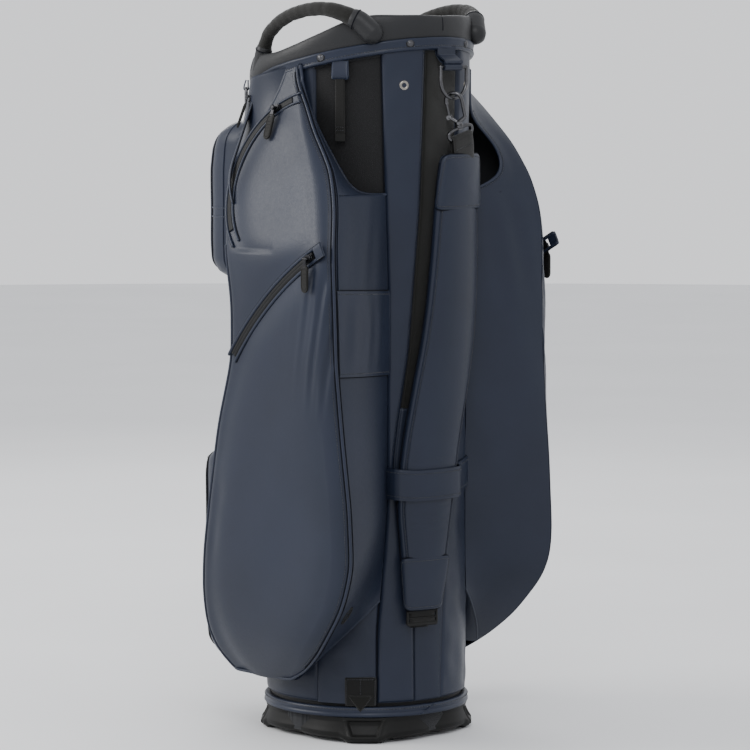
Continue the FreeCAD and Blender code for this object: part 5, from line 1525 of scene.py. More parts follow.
def pull_parts():
    """Puller: a pierced metal neck riveted to a rubber blade, along local x from its eye."""
    neck = [(-1.5, -2.3), (6.0, -2.5), (9.5, -3.6), (14.0, -3.9), (14.0, 3.9), (9.5, 3.6), (6.0, 2.5),
            (-1.5, 2.3), (-2.3, 0)]
    metal_part = [extruded(neck, -0.8, 0.8, 0.25), turned([(0, 0.7), (1.9, 0.75), (1.8, 1.3), (0, 1.6)], 16)]
    verts, faces = metal_part[1]
    metal_part[1] = (verts + np.array([11.2, 0, 0]), faces)
    outline = [(8.5, -3.0), (9.5, -4.6), (13.0, -5.4), (34.0, -5.5), (37.5, -4.6), (39.6, -2.6), (40.2, 0),
               (39.6, 2.6), (37.5, 4.6),
               (34.0, 5.5), (13.0, 5.4), (9.5, 4.6), (8.5, 3.0)]
    blade = [extruded(outline, -1.3, 1.3, 0.5)]
    centre = np.mean(outline, axis=0)
    inner = [tuple(centre + (np.array(p) - centre) * 0.8) for p in outline]
    for z in (1.25, -1.25):
        ring = resample(np.array([(x, y, z) for x, y in inner]), 1.2, closed=True)
        blade.append(sweep_mesh(ring, 0.45, 6, True))
    for x in (18.0, 22.0, 26.0, 30.0):
        for z in (1.25, -1.25):
            blade.append(sweep_mesh(np.array([(x, -2.6, z), (x, 0, z), (x, 2.6, z)]), 0.45, 6))
    return metal_part, blade


def zip_hardware():
    zips = []
    for word, s in (("right", 1), ("left", -1)):
        for kind, arc in (("apparel", APPAREL_ARC), ("cooler", COOLER_ARC)):
            path, _, normal = zip_arc(arc, s, 0.0, 0.0)
            along = unit(path[1] - path[0])
            out = normal[0]
            zips.append((word + "_" + kind, path[0] + out * (0.4 + ZIP_THICK), along, out, kind == "apparel"))
    start, _, along, out = valuables_frame()
    zips.append(("left_valuables", start + out * ZIP_THICK, along, out, False))
    for name, y, z, _, x in FRONT_ZIPS:
        zips.append((name, np.array([x, y + ZIP_THICK, z]), np.array([1.0, 0, 0]), np.array([0, 1.0, 0]),
                     False))
    for name, at, along, out, stud in zips:
        down = unit(DOWN - out * DOWN.dot(out))
        parts = placed(slider_parts(stud), at + out * GAP, along, out)
        if stud:
            eye = at + out * (GAP + SLIDER_THICK + GAP + 1.3)
        else:
            eye = at + out * (GAP + SLIDER_THICK + 2.4)
            axis = unit(np.cross(down, out))
            parts.append(sweep_mesh(np.array([eye - axis * 3.8, eye, eye + axis * 3.8]), 1.1, 12))
            for side in (-1, 1):
                foot = eye + axis * side * 3.4
                parts.append(sweep_mesh(np.array([foot, foot - out * 1.4, foot - out * 2.8]), 1.0, 10))
        slider = joined_piece(name + "_slider_body", parts, BLACK_METAL, "gunmetal", name + "_slider",
                              smooth=False)
        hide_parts(name + "_slider")
        metal_part, blade = pull_parts()
        neck = placed(metal_part, eye, down, out)
        joined_piece(name + "_pull_neck", neck, BLACK_METAL, "gunmetal", name + "_puller", smooth=False)
        blade = placed(blade, eye, down, out)
        pull = joined_piece(name + "_pull_blade", blade, PULL_RUBBER, "puller_rubber", name + "_puller",
                            smooth=False)
        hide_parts(name + "_puller")


# ---------------------------------------------------------------- shoulder strap


PAD_MIDDLE = table([(row[0], row[1]) for row in PAD_STATIONS])
PAD_HALF = table([(row[0], row[2]) for row in PAD_STATIONS])


def on_strap(s, z, lift):
    """Point s millimetres across the pad's middle line at a height."""
    z = np.asarray(z, float)
    angle = PAD_MIDDLE(z) + np.degrees(np.asarray(s, float) / PAD_RADIUS)
    return tube(angle, z, lift)


def patch(name, outline, surface, height, material, slot, body="bag", dome=1.5, rings=10, low=0.0):
    """Domed patch of any rounded outline, drawn in (s, z) and laid on a surface(s, z, lift)."""
    outline = np.asarray(outline, float)
    centre = outline.mean(axis=0)
    n = len(outline)
    verts = []
    reach = np.linalg.norm(outline - centre, axis=1).mean()
    shares = [1.0] + [1.0 - (1.0 - math.cos(a)) * 2.2 / reach
                      for a in np.linspace(0.4, 1.57, 5)] + list(np.linspace(0.88, 0.02, rings))
    for share in shares:
        t = min(1.0, (1.0 - share) * reach / 2.2)
        rise = height * math.sqrt(max(0.0, 1 - (1 - t) ** 2)) + dome * (1 - share ** 2)
        ring = centre + (outline - centre) * share
        verts.append(surface(ring[:, 0], ring[:, 1], low + rise))
    verts.insert(0, surface(outline[:, 0], outline[:, 1], low - 0.6))
    faces = grid_faces(len(verts), n, False, True)
    faces.append(tuple(range(n - 1, -1, -1)))
    faces.append(tuple(range((len(verts) - 1) * n, len(verts) * n)))
    made = np.concatenate(verts)
    normal = np.cross(made[1] - made[0], made[n] - made[0])
    away = made[0] - np.array([0, 4.0, made[0][2]])
    if normal.dot(away) > 0:
        faces = [tuple(reversed(face)) for face in faces]
    return new_piece(name, made, faces, material, slot, body)


def rounded_outline(corners, radius, per=9):
    """Closed outline with round corners."""
    corners = np.asarray(corners, float)
    out = []
    n = len(corners)
    for k in range(n):
        p, a, b = corners[k], corners[k - 1], corners[(k + 1) % n]
        r = min(radius, 0.48 * np.linalg.norm(a - p), 0.48 * np.linalg.norm(b - p))
        q0 = p + unit(a - p) * r
        q1 = p + unit(b - p) * r
        for t in np.linspace(0, 1, per):
            out.append((1 - t) ** 2 * q0 + 2 * t * (1 - t) * p + t * t * q1)
    path = np.array(out)
    flat = np.column_stack([path, np.zeros(len(path))])
    return resample(flat, 1.6, closed=True)[:, :2]


def inset_outline(outline, amount):
    outline = np.asarray(outline, float)
    tangent = np.roll(outline, -1, 0) - np.roll(outline, 1, 0)
    normal = np.stack([-tangent[:, 1], tangent[:, 0]], 1)
    normal /= np.linalg.norm(normal, axis=1, keepdims=True) + 1e-9
    centre = outline.mean(axis=0)
    if np.sum(normal * (centre - outline)) < 0:
        normal = -normal
    return outline + normal * amount


def pad_pieces():
    rows, cols = 300, 64
    z = np.linspace(168.0, 716.0, rows)
    half = PAD_HALF(z) - 0.6
    end = np.minimum(z - 168.0, 716.0 - z)
    half = half - 5.0 * (1 - np.sqrt(np.clip(1 - (1 - np.clip(end / 7.0, 0, 1)) ** 2, 0, 1)))
    angle = full_turn(cols * 2)
    c = np.cos(angle)
    s = np.sin(angle)
    across = np.sign(c) * np.abs(c) ** 0.62
    tall = np.sign(s) * np.abs(s) ** 0.55
    front = tall > 0
    pts = np.zeros((rows, cols * 2, 3))
    for j in range(rows):
        x = across * half[j]
        squeeze = 0.55 + 0.45 * min(1.0, end[j] / 14.0)
        lift = PAD_MID + tall * (PAD_FAR - PAD_NEAR) / 2 * squeeze
        inside = half[j] - np.abs(x)
        groove = np.exp(-((inside - 5.6) / 1.3) ** 2) * front
        crown = 2.4 * (1 - np.clip(np.abs(x) / half[j], 0, 1) ** 2) * front
        border = 0.5 * np.exp(-((inside - 2.4) / 1.8) ** 2) * front
        crease = 0.0
        for zc, depth in ((262.0, 0.5), (270.0, 0.8), (279.0, 0.5), (292.0, 0.6), (346.0, 0.6)):
            wave = zc + 1.6 * np.sin(x * 0.13 + zc)
            crease = crease + depth * np.exp(-((z[j] - wave) / 1.6) ** 2) * np.clip((inside - 8) / 6, 0, 1)
        lift = lift + front * (crown - 1.9 * groove + border - crease)
        pts[j] = on_strap(x, z[j], lift)
    verts = pts.reshape(-1, 3)
    faces = grid_faces(rows, cols * 2, False, True)
    faces.append(tuple(range(cols * 2 - 1, -1, -1)))
    faces.append(tuple(range((rows - 1) * cols * 2, rows * cols * 2)))
    a, b, c = (verts[i] for i in faces[rows * cols][:3])
    facing = np.cross(b - a, c - b).dot(a - tube(PAD_MIDDLE(a[2]), a[2], PAD_MID))
    if facing < 0:
        faces = [tuple(reversed(face)) for face in faces]
    pad = new_piece("strap_pad", verts, faces, NAVY, "navy_leather")
    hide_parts("shoulder_pad")
    zs = np.linspace(176.0, 706.0, 300)
    lines = [on_strap(s * (PAD_HALF(zs) - 6.2), zs, PAD_FAR - 0.3) for s in (-1, 1)]
    stitches("strap_pad_stitches", lines, pitch=3.8, length=2.6, radius=0.45)
    # Dark lines under both long edges of the pad: painted shadow of the pad on the body
    shadow = [on_strap(s * (PAD_HALF(zs) - 0.6), zs, PAD_MID - 2.0) for s in (-1, 1)]
    pipes("strap_pad_edge_shadows", shadow, 0.9, SEAM_DARK, "navy_leather", sides=6)

    def cap(s, z, lift):
        """Surface that covers the pad's face and bends down round both of its edges."""
        s, z, lift = np.broadcast_arrays(np.asarray(s, float), np.asarray(z, float), np.asarray(lift, float))
        half = PAD_HALF(z) - 0.6
        bend = 4.5
        turn = np.clip((np.abs(s) - (half - bend)) / bend, 0.0, 1.5)
        down = np.maximum(0.0, np.abs(s) - (half - bend) - 1.5 * bend)
        flat = np.minimum(np.abs(s), half - bend)
        reach = flat + bend * np.sin(turn) + lift * np.sin(turn) + down * 0.07
        level_ = PAD_FAR - bend * (1 - np.cos(turn)) + lift * np.cos(turn) - down
        return on_strap(np.sign(s) * reach, z, level_)

    def end_patch(name, node, z0, z1, half0, half1):
        outline = rounded_outline([(-half0 - 5.0, z0), (half0 + 1.5, z0), (half1 + 1.5, z1),
                                   (-half1 - 4.0, z1)], 10.0)
        piece = patch(name, outline, cap, 2.4, NAVY, "navy_leather", dome=2.4, rings=14)
        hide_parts(node)
        ring = inset_outline(outline, 4.0)
        shadow = inset_outline(outline, -0.2)
        return cap(ring[:, 0], ring[:, 1], 3.0), cap(shadow[:, 0], shadow[:, 1], 0.3)

    lines = [end_patch("pad_patch_top", "pad_patch_upper", 650.0, 717.0, PAD_HALF(650.0),
                       PAD_HALF(717.0) - 2.0),
             end_patch("pad_patch_bottom", "pad_patch_lower", 164.5, 229.0, PAD_HALF(166.0) - 1.0,
                       PAD_HALF(229.0))]
    stitches("pad_patch_stitches", [line[0] for line in lines], closed=True, pitch=3.2, length=2.2,
             radius=0.45)
    pipes("pad_patch_shadows", [line[1] for line in lines], 0.8, SEAM_DARK, "navy_leather", sides=6,
          closed=True)


def keeper_pieces():
    route = np.array([(-33.4, 6.4), (-32.8, 8.4), (-31.8, 12.5), (-30.8, 17.0), (-29.6, 21.0),
                      (-27.6, 24.2), (-23.0, 26.0), (-15.0, 27.0),
                      (-7.0, 27.0), (0.0, 26.6), (5.0, 25.6), (8.0, 23.4), (10.0, 19.0), (12.0, 13.0),
                      (14.5, 9.0), (18.0, 7.4),
                      (24.0, 6.8), (32.6, 6.6)])
    fine = np.linspace(0, len(route) - 1, 150)
    phi = np.interp(fine, np.arange(len(route)), route[:, 0])
    lift = np.interp(fine, np.arange(len(route)), route[:, 1])
    for _ in range(10):
        lift[1:-1] = 0.25 * lift[:-2] + 0.5 * lift[1:-1] + 0.25 * lift[2:]
    z = np.linspace(299.0, 337.0, 26)
    tilt = np.interp(phi, [-33, -20, 10, 32], [2.0, -1.0, 0.0, 6.0])
    grid = tube(phi[None, :], z[:, None] + tilt[None, :], lift[None, :])
    normal = outward(grid, grid_normals(grid))
    rise, _ = edge_rise(grid, 2.2, (False, False, True, True))
    soft = 0.5 * np.sin(np.linspace(0, 9, 150))[None, :] * np.sin(np.linspace(0, np.pi, 26))[:, None]
    band = slab("keeper_strap", grid + normal * (1.0 + 1.2 * rise + soft)[..., None], grid - normal * 0.2,
                NAVY, "navy_leather")
    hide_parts("keeper_band")
    lines = [grid[row] + normal[row] * 2.35 for row in (3, -4)]
    stitches("keeper_stitches", lines, pitch=3.4, length=2.3, radius=0.42)
    # Dark line at the keeper strap's end: painted shadow where it meets the body
    pipe("keeper_end_shadow", grid[:, 0] + normal[:, 0] * 0.6, 0.9, SEAM_DARK, "navy_leather", sides=6)


def strap_band(name, left, right, thick, material, slot, body="bag"):
    """Flat strap between two edge lines, with softly rounded edges."""
    u = np.linspace(0, 1, 15)
    base = left[:, None] * (1 - u)[None, :, None] + right[:, None] * u[None, :, None]
    normal = outward(base, grid_normals(base))
    edge = thick * (1 - np.abs(2 * u - 1) ** 8) * 0.5
    outer = base + normal * edge[None, :, None]
    inner = base - normal * edge[None, :, None]
    return slab(name, outer, inner, material, slot, body)


def flat_smoothed(points, step, passes):
    """Smooths a line given in two dimensions."""
    points = np.column_stack([points, np.zeros(len(points))])
    return smoothed(resample(points, step), passes)[:, :2]


def d_ring_tab():
    """Leather tab folded round the D-ring's straight bar. Its profile is drawn in (y, z)."""
    tab_low, tab_high = (np.array(v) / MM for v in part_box("strap_tab"))
    x0, x1 = tab_low[0] + 0.2, tab_high[0] - 0.2
    bar = np.array(JOINTS["d_ring_swing"]["pos_m"]) / MM
    spine_y = tube(3.0, 846.0, 6.6)[1]
    fold = [(bar[1] - 4.3 * math.cos(a), bar[2] - 4.3 * math.sin(a))
            for a in np.radians(np.linspace(-30, 210, 26))]
    back = [(spine_y + 2.2, 847.0), (spine_y + 1.2, 838.0), (bar[1] + 5.4, 830.0)]
    fore = [(bar[1] - 3.6, 828.0), (spine_y - 1.2, 836.0), (spine_y - 1.0, 847.0)]
    profile = flat_smoothed(np.array(back + fold + fore), 1.0, 4)
    columns = [np.column_stack([np.full(len(profile), x), profile]) for x in np.linspace(x0, x1, 30)]
    outer = np.stack(columns, 1)
    normal = grid_normals(outer)
    middle = len(back) + len(fold) // 2
    if np.sum(normal[middle, :, 1:] * (outer[middle, :, 1:] - bar[1:])) < 0:
        normal = -normal
    rise, _ = edge_rise(outer, 1.6, (True, True, False, False))
    tab = slab("d_ring_tab", outer + normal * (0.3 * rise)[..., None], outer - normal * 1.5, NAVY,
               "navy_leather")
    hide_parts("strap_tab")
    lines = [np.stack([np.linspace(x0 + 2.5, x1 - 2.5, 20), np.full(20, fore[1][0] - 0.5),
                       np.full(20, 833.0)], 1)]
    for x in (x0 + 2.2, x1 - 2.2):
        lines.append(np.array([(x, fore[0][0] - 0.6, 829.5), (x, fore[1][0] - 0.7, 836.0),
                               (x, fore[2][0] - 0.6, 845.0)]))
    stitches("d_ring_tab_stitches", lines, pitch=3.2, length=2.1, radius=0.38)


def rounded_loop(middle, wide_dir, tall_dir, wide, tall, power_wide, power_tall, count):
    """Closed line of a rounded rectangle."""
    line = []
    for a in full_turn(count):
        c, s = math.cos(a), math.sin(a)
        line.append(middle + wide_dir * (wide * math.copysign(abs(c) ** power_wide, c))
                    + tall_dir * (tall * math.copysign(abs(s) ** power_tall, s)))
    return np.array(line)


def swivel_pieces():
    """Swivel loop of the hook, and the webbing that runs through it to the pad."""
    joint = JOINTS["hook_swivel_turn"]
    axis = unit(joint["axis"])
    turn = unit(np.array([1.0, 0, 0]) - axis * axis[0])
    head = np.array(joint["pos_m"]) / MM + axis * 3.0
    parts = [sweep_mesh(rounded_loop(head + axis * 9.6, turn, axis, 20.5, 6.0, 0.55, 0.7, 64), 2.1, 12, True)]
    barrel = turned([(2.1, -0.2), (4.6, -0.1), (4.9, 0.8), (4.6, 3.6), (3.8, 4.6), (2.1, 4.8)], 24)
    parts += placed([barrel], head, turn, axis)
    swivel = joined_piece("swivel_loop", parts, GUNMETAL, "gunmetal")
    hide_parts("hook_swivel")
    top = head + axis * 15.6
    end = on_strap(0.0, 704.0, PAD_FAR - 4.0)
    share = np.linspace(0, 1, 24)[:, None]
    line = top * (1 - share) + end * share + np.array([0, -1.5, 0]) * np.sin(np.pi * share)
    fold = [head + axis * (15.6 - 4.2 * math.cos(a)) + np.array([0, -3.1 * math.sin(a), 0])
            for a in np.radians(np.linspace(-100, 100, 15))]
    half = turn * WEBBING_HALF
    for word, path in (("front", line + np.array([0, -2.6, 0])), ("fold", np.array(fold)),
                       ("back", line + np.array([0, 3.4, 0]))):
        web = strap_band("strap_webbing_" + word, path - half, path + half, WEBBING_THICK, WEBBING, "webbing")
        if word == "front":
            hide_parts("strap_webbing_upper")
    seam = line[8] + np.array([0, -3.7, 0]) + turn * np.linspace(-15, 15, 16)[:, None]
    stitches("strap_webbing_stitches", [seam], pitch=2.8, length=1.9, radius=0.38)


def buckle_pieces():
    """Ladder buckle below the pad, with the webbing's lower end."""
    middle = float(PAD_MIDDLE(168.0))
    at = tube(middle, 153.5, PAD_NEAR + 7.0)
    out = unit(tube(middle, 153.5, 100.0) - tube(middle, 153.5, 0.0))
    parts = []
    for y, r in ((8.2, 1.7), (0.5, 1.5), (-5.6, 1.9)):
        bar = np.array([(x, y, 0.25 * math.cos(x / 9.0)) for x in np.linspace(-20.5, 20.5, 24)])
        parts.append(sweep_mesh(place(bar, at, (1, 0, 0), out), r, 12))
    for x in (-20.3, 20.3):
        bar = np.array([(x, y, 0.0) for y in np.linspace(-5.6, 8.2, 12)])
        parts.append(sweep_mesh(place(bar, at, (1, 0, 0), out), 1.9, 12))
    lip = extruded(rounded_outline([(-20, -9.4), (20, -9.4), (22, -5.6), (-22, -5.6)], 1.8), -0.6, 2.0, 0.5)
    parts += placed([lip], at, (1, 0, 0), out)
    buckle = joined_piece("pad_buckle", parts, BLACK_MOULD, "black_mould")
    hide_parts("strap_buckle")
    zs = np.linspace(145.0, 174.0, 30)
    lift = PAD_NEAR + np.interp(zs, [145, 150, 155, 162, 174], [4.5, 9.5, 8.0, 9.0, 6.0])
    strap_band("strap_webbing_loop", tube(middle - 7.4, zs, lift), tube(middle + 7.4, zs, lift),
               WEBBING_THICK, WEBBING, "webbing")
    zs = np.linspace(141.0, 246.0, 60)
    lift = np.interp(zs, [141, 160, 246], [9.6, 7.4, 7.2])
    tail = strap_band("strap_webbing_tail", tube(middle - 5.6, zs, lift), tube(middle + 5.6, zs, lift), 1.6,
                      WEBBING, "webbing")
    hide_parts("strap_webbing_lower")


def strap_hardware():
    d_ring_tab()
    swivel_pieces()
    buckle_pieces()


# ---------------------------------------------------------------- small fittings
def anchor_pieces():
    """Webbing patch with a pointed tip that anchors the strap, on the left of the spine."""
    def surface(s, z, lift):
        return tube(-47.1 + np.degrees(np.asarray(s) / 121.0), z, 5.0 + lift)

    outline = rounded_outline([(-18.4, 45.5), (18.4, 45.5), (18.8, 81.0), (-18.8, 81.0)], 1.5)
    anchor = patch("anchor_webbing", outline, surface, 1.8, WEBBING_SOLID, "webbing", dome=0.3)
    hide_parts("anchor_patch")
    outline = rounded_outline([(-15.0, 59.0), (0.0, 37.5), (15.0, 59.0)], 1.0)
    patch("anchor_tip", outline, surface, 1.4, OLIVE_CLOTH, "webbing", dome=0.2, low=2.0)
    lines = [surface(np.zeros(20), np.linspace(60.0, 80.0, 20), 2.2),
             surface(np.linspace(-16, 16, 20), np.full(20, 78.5), 2.2)]
    lines += [surface(s * np.linspace(16.6, 16.9, 20), np.linspace(47, 78, 20), 2.1) for s in (-1, 1)]
    stitches("anchor_stitches", lines, pitch=2.6, length=1.8, radius=0.4, slot="webbing")


def drain_pieces():
    """Oval drain grommet on the left gusset, at the height of its CAD node."""
    low, high = (np.array(v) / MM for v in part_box("cooler_drain"))
    centre = (low + high) / 2
    f = (centre[2] - GUSSET_LOW) / (OPENING_LOW - GUSSET_LOW)
    best = min(np.linspace(0.3, 0.97, 60), key=lambda u: abs(gusset_point(f, u)[0] - abs(centre[0])))
    spot = gusset_point(f, best, 0.6)
    back = gusset_point(f, best - 0.05, 0.6)
    above = gusset_point(f + 0.02, best, 0.6)
    out = unit(np.cross(spot - back, above - spot))
    if out[1] > 0:
        out = -out
    up = unit(above - spot)
    spot, out, up = (mirrored(v, -1) for v in (spot, out, up))
    tilt = unit(up - 0.55 * unit(np.cross(out, up)))
    ring = np.array([(11.0 * math.cos(t), 6.6 * math.sin(t), 0.9) for t in full_turn(40)])
    parts = [sweep_mesh(place(ring, spot, tilt, out), 1.5, 10, True)]
    plate = extruded([(10.4 * math.cos(t), 6.0 * math.sin(t)) for t in full_turn(32)], -0.6, 0.5, 0.2)
    parts += placed([plate], spot, tilt, out)
    for x in (-6.0, -2.0, 2.0, 6.0):
        half = 5.2 * math.sqrt(1 - (x / 10.4) ** 2)
        bar = np.array([(x, t, 0.9) for t in np.linspace(-half, half, 7)])
        parts.append(sweep_mesh(place(bar, spot, tilt, out), 0.7, 8))
    drain = joined_piece("drain_grommet", parts, BLACK_MOULD, "black_mould")
    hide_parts("cooler_drain")


def sewn_loop(pivot, out, back, radius, close, power, near, turns, far):
    """Side view of a tab that comes down behind a pivot, turns round it and goes up in front."""
    line = [pivot - out * back + UP * t for t in near]
    line += [pivot - out * (radius * math.cos(a)) - UP * (radius * math.sin(a))
             for a in np.radians(np.linspace(0, 180, turns))]
    line += [pivot + out * (radius - close * (t / far[-1]) ** power) + UP * t for t in far]
    return np.array(line)


def accessory_pieces():
    """Leather loop on the left shoulder and the strap of webbing folded through it."""
    joint = JOINTS["accessory_strap_swing"]
    pivot, axis = np.array(joint["pos_m"]) / MM, unit(joint["axis"])
    out = unit(np.array([pivot[0], pivot[1] - 6.0, 0.0]))
    path = sewn_loop(pivot, out, 3.9, 4.6, 4.4, 1.5, np.linspace(18, 2, 10), 24, np.linspace(1, 17, 12))
    tab = strap_band("accessory_loop", path - axis * 10.0, path + axis * 10.0, 1.6, NAVY, "navy_leather")
    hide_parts("accessory_tab")
    lines = [np.array([pivot + out * (5.0 - 4.4 * (t / 17.0) ** 1.5) + UP * t + axis * side * 7.8
                       for t in np.linspace(2, 16, 10)]) for side in (-1, 1)]
    stitches("accessory_loop_stitches", lines, pitch=3.0, length=2.0, radius=0.38)
    bend = [pivot + (out * math.cos(a) + UP * math.sin(a)) * 2.6 for a in np.radians(np.linspace(180, 0, 16))]
    drop = np.linspace(2, 76, 30)
    front = [bend[-1] + DOWN * t - out * 1.1 * min(1, t / 14.0) for t in drop]
    rear = [bend[0] + DOWN * t + out * 1.1 * min(1, t / 14.0) for t in drop[::-1]]
    path = smoothed(np.array(rear + bend + front), 3)
    left, right = path - axis * 5.9, path + axis * 5.9
    strap = strap_band("accessory_webbing", left, right, 1.3, WEBBING, "webbing", body="accessory_strap")
    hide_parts("accessory_strap")
    tip = extruded(rounded_outline([(70.0, -6.4), (79.5, -6.4), (79.5, 6.4), (70.0, 6.4)], 1.6), -2.3, 2.3,
                   0.6)
    joined_piece("accessory_tip", placed([tip], pivot, DOWN, out), BLACK_MOULD, "black_mould",
                 "accessory_strap", False)
    lines = [pivot + DOWN * x + out * 2.3 + axis * np.linspace(-5, 5, 8)[:, None] for x in (62.0, 66.0)]
    stitches("accessory_webbing_stitches", lines, body="accessory_strap", pitch=2.4, length=1.6, radius=0.35,
             slot="webbing")


def towel_pieces():
    """Wire ring for a towel, hung in a narrow leather tab."""
    joint = JOINTS["towel_ring_swing"]
    pivot, axis = np.array(joint["pos_m"]) / MM, unit(joint["axis"])
    out = unit(np.array([-axis[1], axis[0], 0.0]))
    if out.dot(np.array([pivot[0], pivot[1], 0])) < 0:
        out = -out
    line = rounded_loop(pivot + DOWN * 16.0, axis, DOWN, 5.5, 16.0, 0.6, 0.45, 72)
    ring = pipe("towel_ring_wire", line, 1.7, GUNMETAL, "gunmetal", body="towel_ring", sides=12, closed=True)
    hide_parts("towel_ring")
    path = sewn_loop(pivot, out, 2.4, 2.9, 2.8, 1.4, np.linspace(10, 1.5, 7), 18, np.linspace(1, 10, 7))
    tab = strap_band("towel_ring_loop", path - axis * 3.2, path + axis * 3.2, 1.5, NAVY, "navy_leather")
    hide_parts("towel_ring_tab")


def small_fittings():
    anchor_pieces()
    drain_pieces()
    accessory_pieces()
    towel_pieces()


# ---------------------------------------------------------------- front pockets
def front_pocket(half, y0, z0, z1, depth_at, zip_z):
    """Stuffed block pocket: rounded outline seen from the front, crowned face, sides pulled in."""
    t = np.linspace(-1, 1, 120)
    c, s = np.cos(t * math.pi / 2), np.sin(t * math.pi / 2)
    rows = []
    for f in np.linspace(0, 1, 110):
        z = z0 + (z1 - z0) * f
        edge = min(z - z0, z1 - z)
        narrow = half - 26.0 * (1 - math.sqrt(max(0.0, 1 - (1 - min(edge, 30.0) / 30.0) ** 2)))
        x = narrow * np.sign(s) * np.abs(s) ** 0.55
        y = y0 + (depth_at(z) - y0) * np.abs(c) ** 0.34
        y = y + 1.6 * np.exp(-(x / (0.7 * half)) ** 2) * min(1.0, edge / 20.0)
        y = y - 1.4 * math.exp(-((z - zip_z) / 9.0) ** 2) * (np.abs(x) < 80)
        rows.append(np.stack([x, y, np.full(len(t), z)], 1))
    grid = np.array(rows)
    grid[..., 1] += ripple(grid, 0.7, 0.012, 31 + int(half)) * 0.5
    return grid


UPPER_SIDE = [(150.0, 555.0), (178.0, 557.0), (196.0, 566.0), (201.5, 580.0), (202.5, 605.0), (202.6, 640.0),
              (202.6, 665.0), (202.0, 695.0), (198.0, 720.0), (189.0, 739.0), (170.0, 752.0), (150.0, 757.0)]
BALL_SIDE = [(140.0, 72.0), (196.0, 78.0), (208.0, 100.0), (212.0, 142.0), (212.6, 200.0), (212.6, 310.0),
             (210.0, 330.0), (200.0, 342.0), (160.0, 350.0)]


def front_pocket_pieces():
    """Both front pockets. Their side profiles are drawn in (depth, height)."""
    for name, half, y0, z0, z1, profile, zip_z, trim in (
            ("upper_front_pocket", 99.0, 108.0, 555.5, 756.5, UPPER_SIDE, 640.0, (NAVY_EDGE, "navy_leather")),
            ("ball_pocket", 102.0, 106.0, 72.5, 349.5, BALL_SIDE, 320.0, (BLACK_MOULD, "black_mould"))):
        depths, heights = zip(*profile)

        def depth_at(z):
            return float(np.interp(z, heights, depths))

        def row_at(z):
            return grid[int(round((z - z0) / (z1 - z0) * (len(grid) - 1)))]

        grid = front_pocket(half, y0, z0, z1, depth_at, zip_z)
        back = grid.copy()
        back[..., 1] = y0 - 4.0
        piece = slab(name + "_body", grid, back, NAVY, "navy_leather")
        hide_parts(name)
        # Piping round the front panel
        x1, low, high = half - 12.0, z0 + 12.0, z1 - 16.0
        path = []
        for x, z in rounded_outline([(-x1, low), (x1, low), (x1, high), (-x1, high)], 26.0):
            row = row_at(z)
            path.append((x, row[int(np.argmin(np.abs(row[:, 0] - x))), 1] + 1.2, z))
        path = smoothed(np.array(path), 6, closed=True)
        pipe(name + "_piping", path, 2.2, *trim, closed=True)
        # Wide dark pipe just behind the piping: painted shadow of the piping
        pipe(name + "_seam", path + np.array([0, -1.6, 0]), 2.7, SEAM_DARK, "navy_leather", closed=True,
             sides=6)
        # Side seams, where the face meets the sides
        for word, s in (("left", -1), ("right", 1)):
            line = []
            for z in np.linspace(z0 + 3, z1 - 3, 90):
                side = row_at(z)
                side = side[side[:, 0] * s > 0]
                y = y0 + 0.42 * (depth_at(z) - y0) + 8.0
                line.append(side[int(np.argmin(np.abs(side[:, 1] - y)))])
            line = smoothed(np.array(line), 5)
            pipe(name + "_side_seam_" + word, line, 1.5, NAVY_EDGE, "navy_leather", sides=8)
        if name == "upper_front_pocket":
            for z in (646, 634):
                line = smoothed(row_at(z)[4:-4] + np.array([0, 0.2, 0]), 3)
                pipe(name + "_double_seam_%d" % z, line, 1.1, NAVY_EDGE, "navy_leather", sides=8)


def dress_nodes():
    looks = {"d_ring": GUNMETAL, "hook_body": GUNMETAL, "hook_gate": GUNMETAL, "frame_stays": ALLOY}
    for name, material in looks.items():
        node = frame["nodes"][name]
        node.data.materials.clear()
        node.data.materials.append(material)
        bevel = node.modifiers.new("Bevel", "BEVEL")
        bevel.width = 0.0002
        bevel.segments = 2
        bevel.limit_method = "ANGLE"
        bevel.angle_limit = math.radians(40.0)


# ---------------------------------------------------------------- studio (metres)
FLOOR_RADIUS = 9.0
CAMERA_LENS = 166.45
CAMERA_AIM = Vector((0.0079, -0.0076, 0.44))
CAMERA_REACH = Vector((-2.987, -3.093, 0.38))    # from the point aimed at to the camera


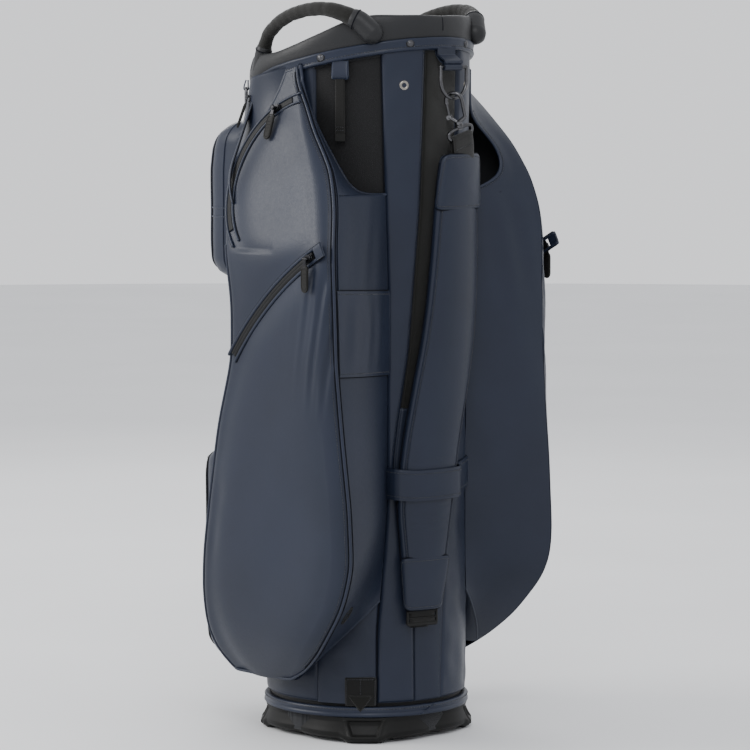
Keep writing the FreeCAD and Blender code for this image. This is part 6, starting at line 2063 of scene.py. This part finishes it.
def studio():
    world = bpy.data.worlds.new("studio")
    world.use_nodes = True
    world.node_tree.nodes["Background"].inputs["Color"].default_value = (0.96, 0.97, 1.0, 1.0)
    world.node_tree.nodes["Background"].inputs["Strength"].default_value = 1.15
    scene.world = world
    mesh = bpy.data.meshes.new("floor")
    ring = [(FLOOR_RADIUS * math.cos(a), FLOOR_RADIUS * math.sin(a), -0.0006) for a in full_turn(96)]
    mesh.from_pydata(ring, [], [tuple(range(96))])
    floor = bpy.data.objects.new("floor", mesh)
    scene.collection.objects.link(floor)
    material, tree, shader = start_material("pale_floor", (0.76, 0.765, 0.775), 0.7)
    noise = add_node(tree, "ShaderNodeTexNoise", Scale=2.0, Detail=2.0)
    feed_object(tree, noise)
    pale = tone(tree, noise.outputs["Fac"], 0.3, 0.7, (0.74, 0.745, 0.755, 1), (0.77, 0.775, 0.785, 1))
    tree.links.new(pale, shader.inputs["Base Color"])
    mesh.materials.append(material)

    def lamp(name, place_, target, size, power, color=(1, 1, 1)):
        data = bpy.data.lights.new(name, "AREA")
        data.shape = "RECTANGLE"
        data.size, data.size_y = size
        data.energy = power
        data.color = color
        light = bpy.data.objects.new(name, data)
        light.location = place_
        light.rotation_euler = (Vector(target) - Vector(place_)).to_track_quat("-Z", "Y").to_euler()
        scene.collection.objects.link(light)

    lamp("key", (-2.5, 1.9, 1.9), (-0.1, 0.0, 0.66), (1.7, 1.5), 84.0, (1.0, 0.99, 0.97))
    lamp("fill", (-1.9, -2.2, 2.9), (0.0, 0.0, 0.66), (1.4, 1.4), 42.0, (0.97, 0.98, 1.0))
    lamp("rim", (1.6, 2.2, 2.0), (0.0, 0.0, 0.55), (1.6, 1.2), 24.0)
    camera = bpy.data.cameras.new("camera")
    camera.lens = CAMERA_LENS
    camera.sensor_width = 36.0
    camera.clip_start = 0.05
    camera.clip_end = 100.0
    eye = bpy.data.objects.new("camera", camera)
    eye.location = CAMERA_AIM + CAMERA_REACH
    eye.rotation_euler = (-CAMERA_REACH).to_track_quat("-Z", "Y").to_euler()
    scene.collection.objects.link(eye)
    scene.camera = eye


studio()
base_pieces()
hem_pieces()
tube_pieces()
spine_pieces()
mouth_pieces()
divider_pieces()
handle_pieces()
side_pocket_pieces("left", -1)
side_pocket_pieces("right", 1)
zip_tape_pieces()
zip_hardware()
pad_pieces()
keeper_pieces()
strap_hardware()
small_fittings()
front_pocket_pieces()
dress_nodes()
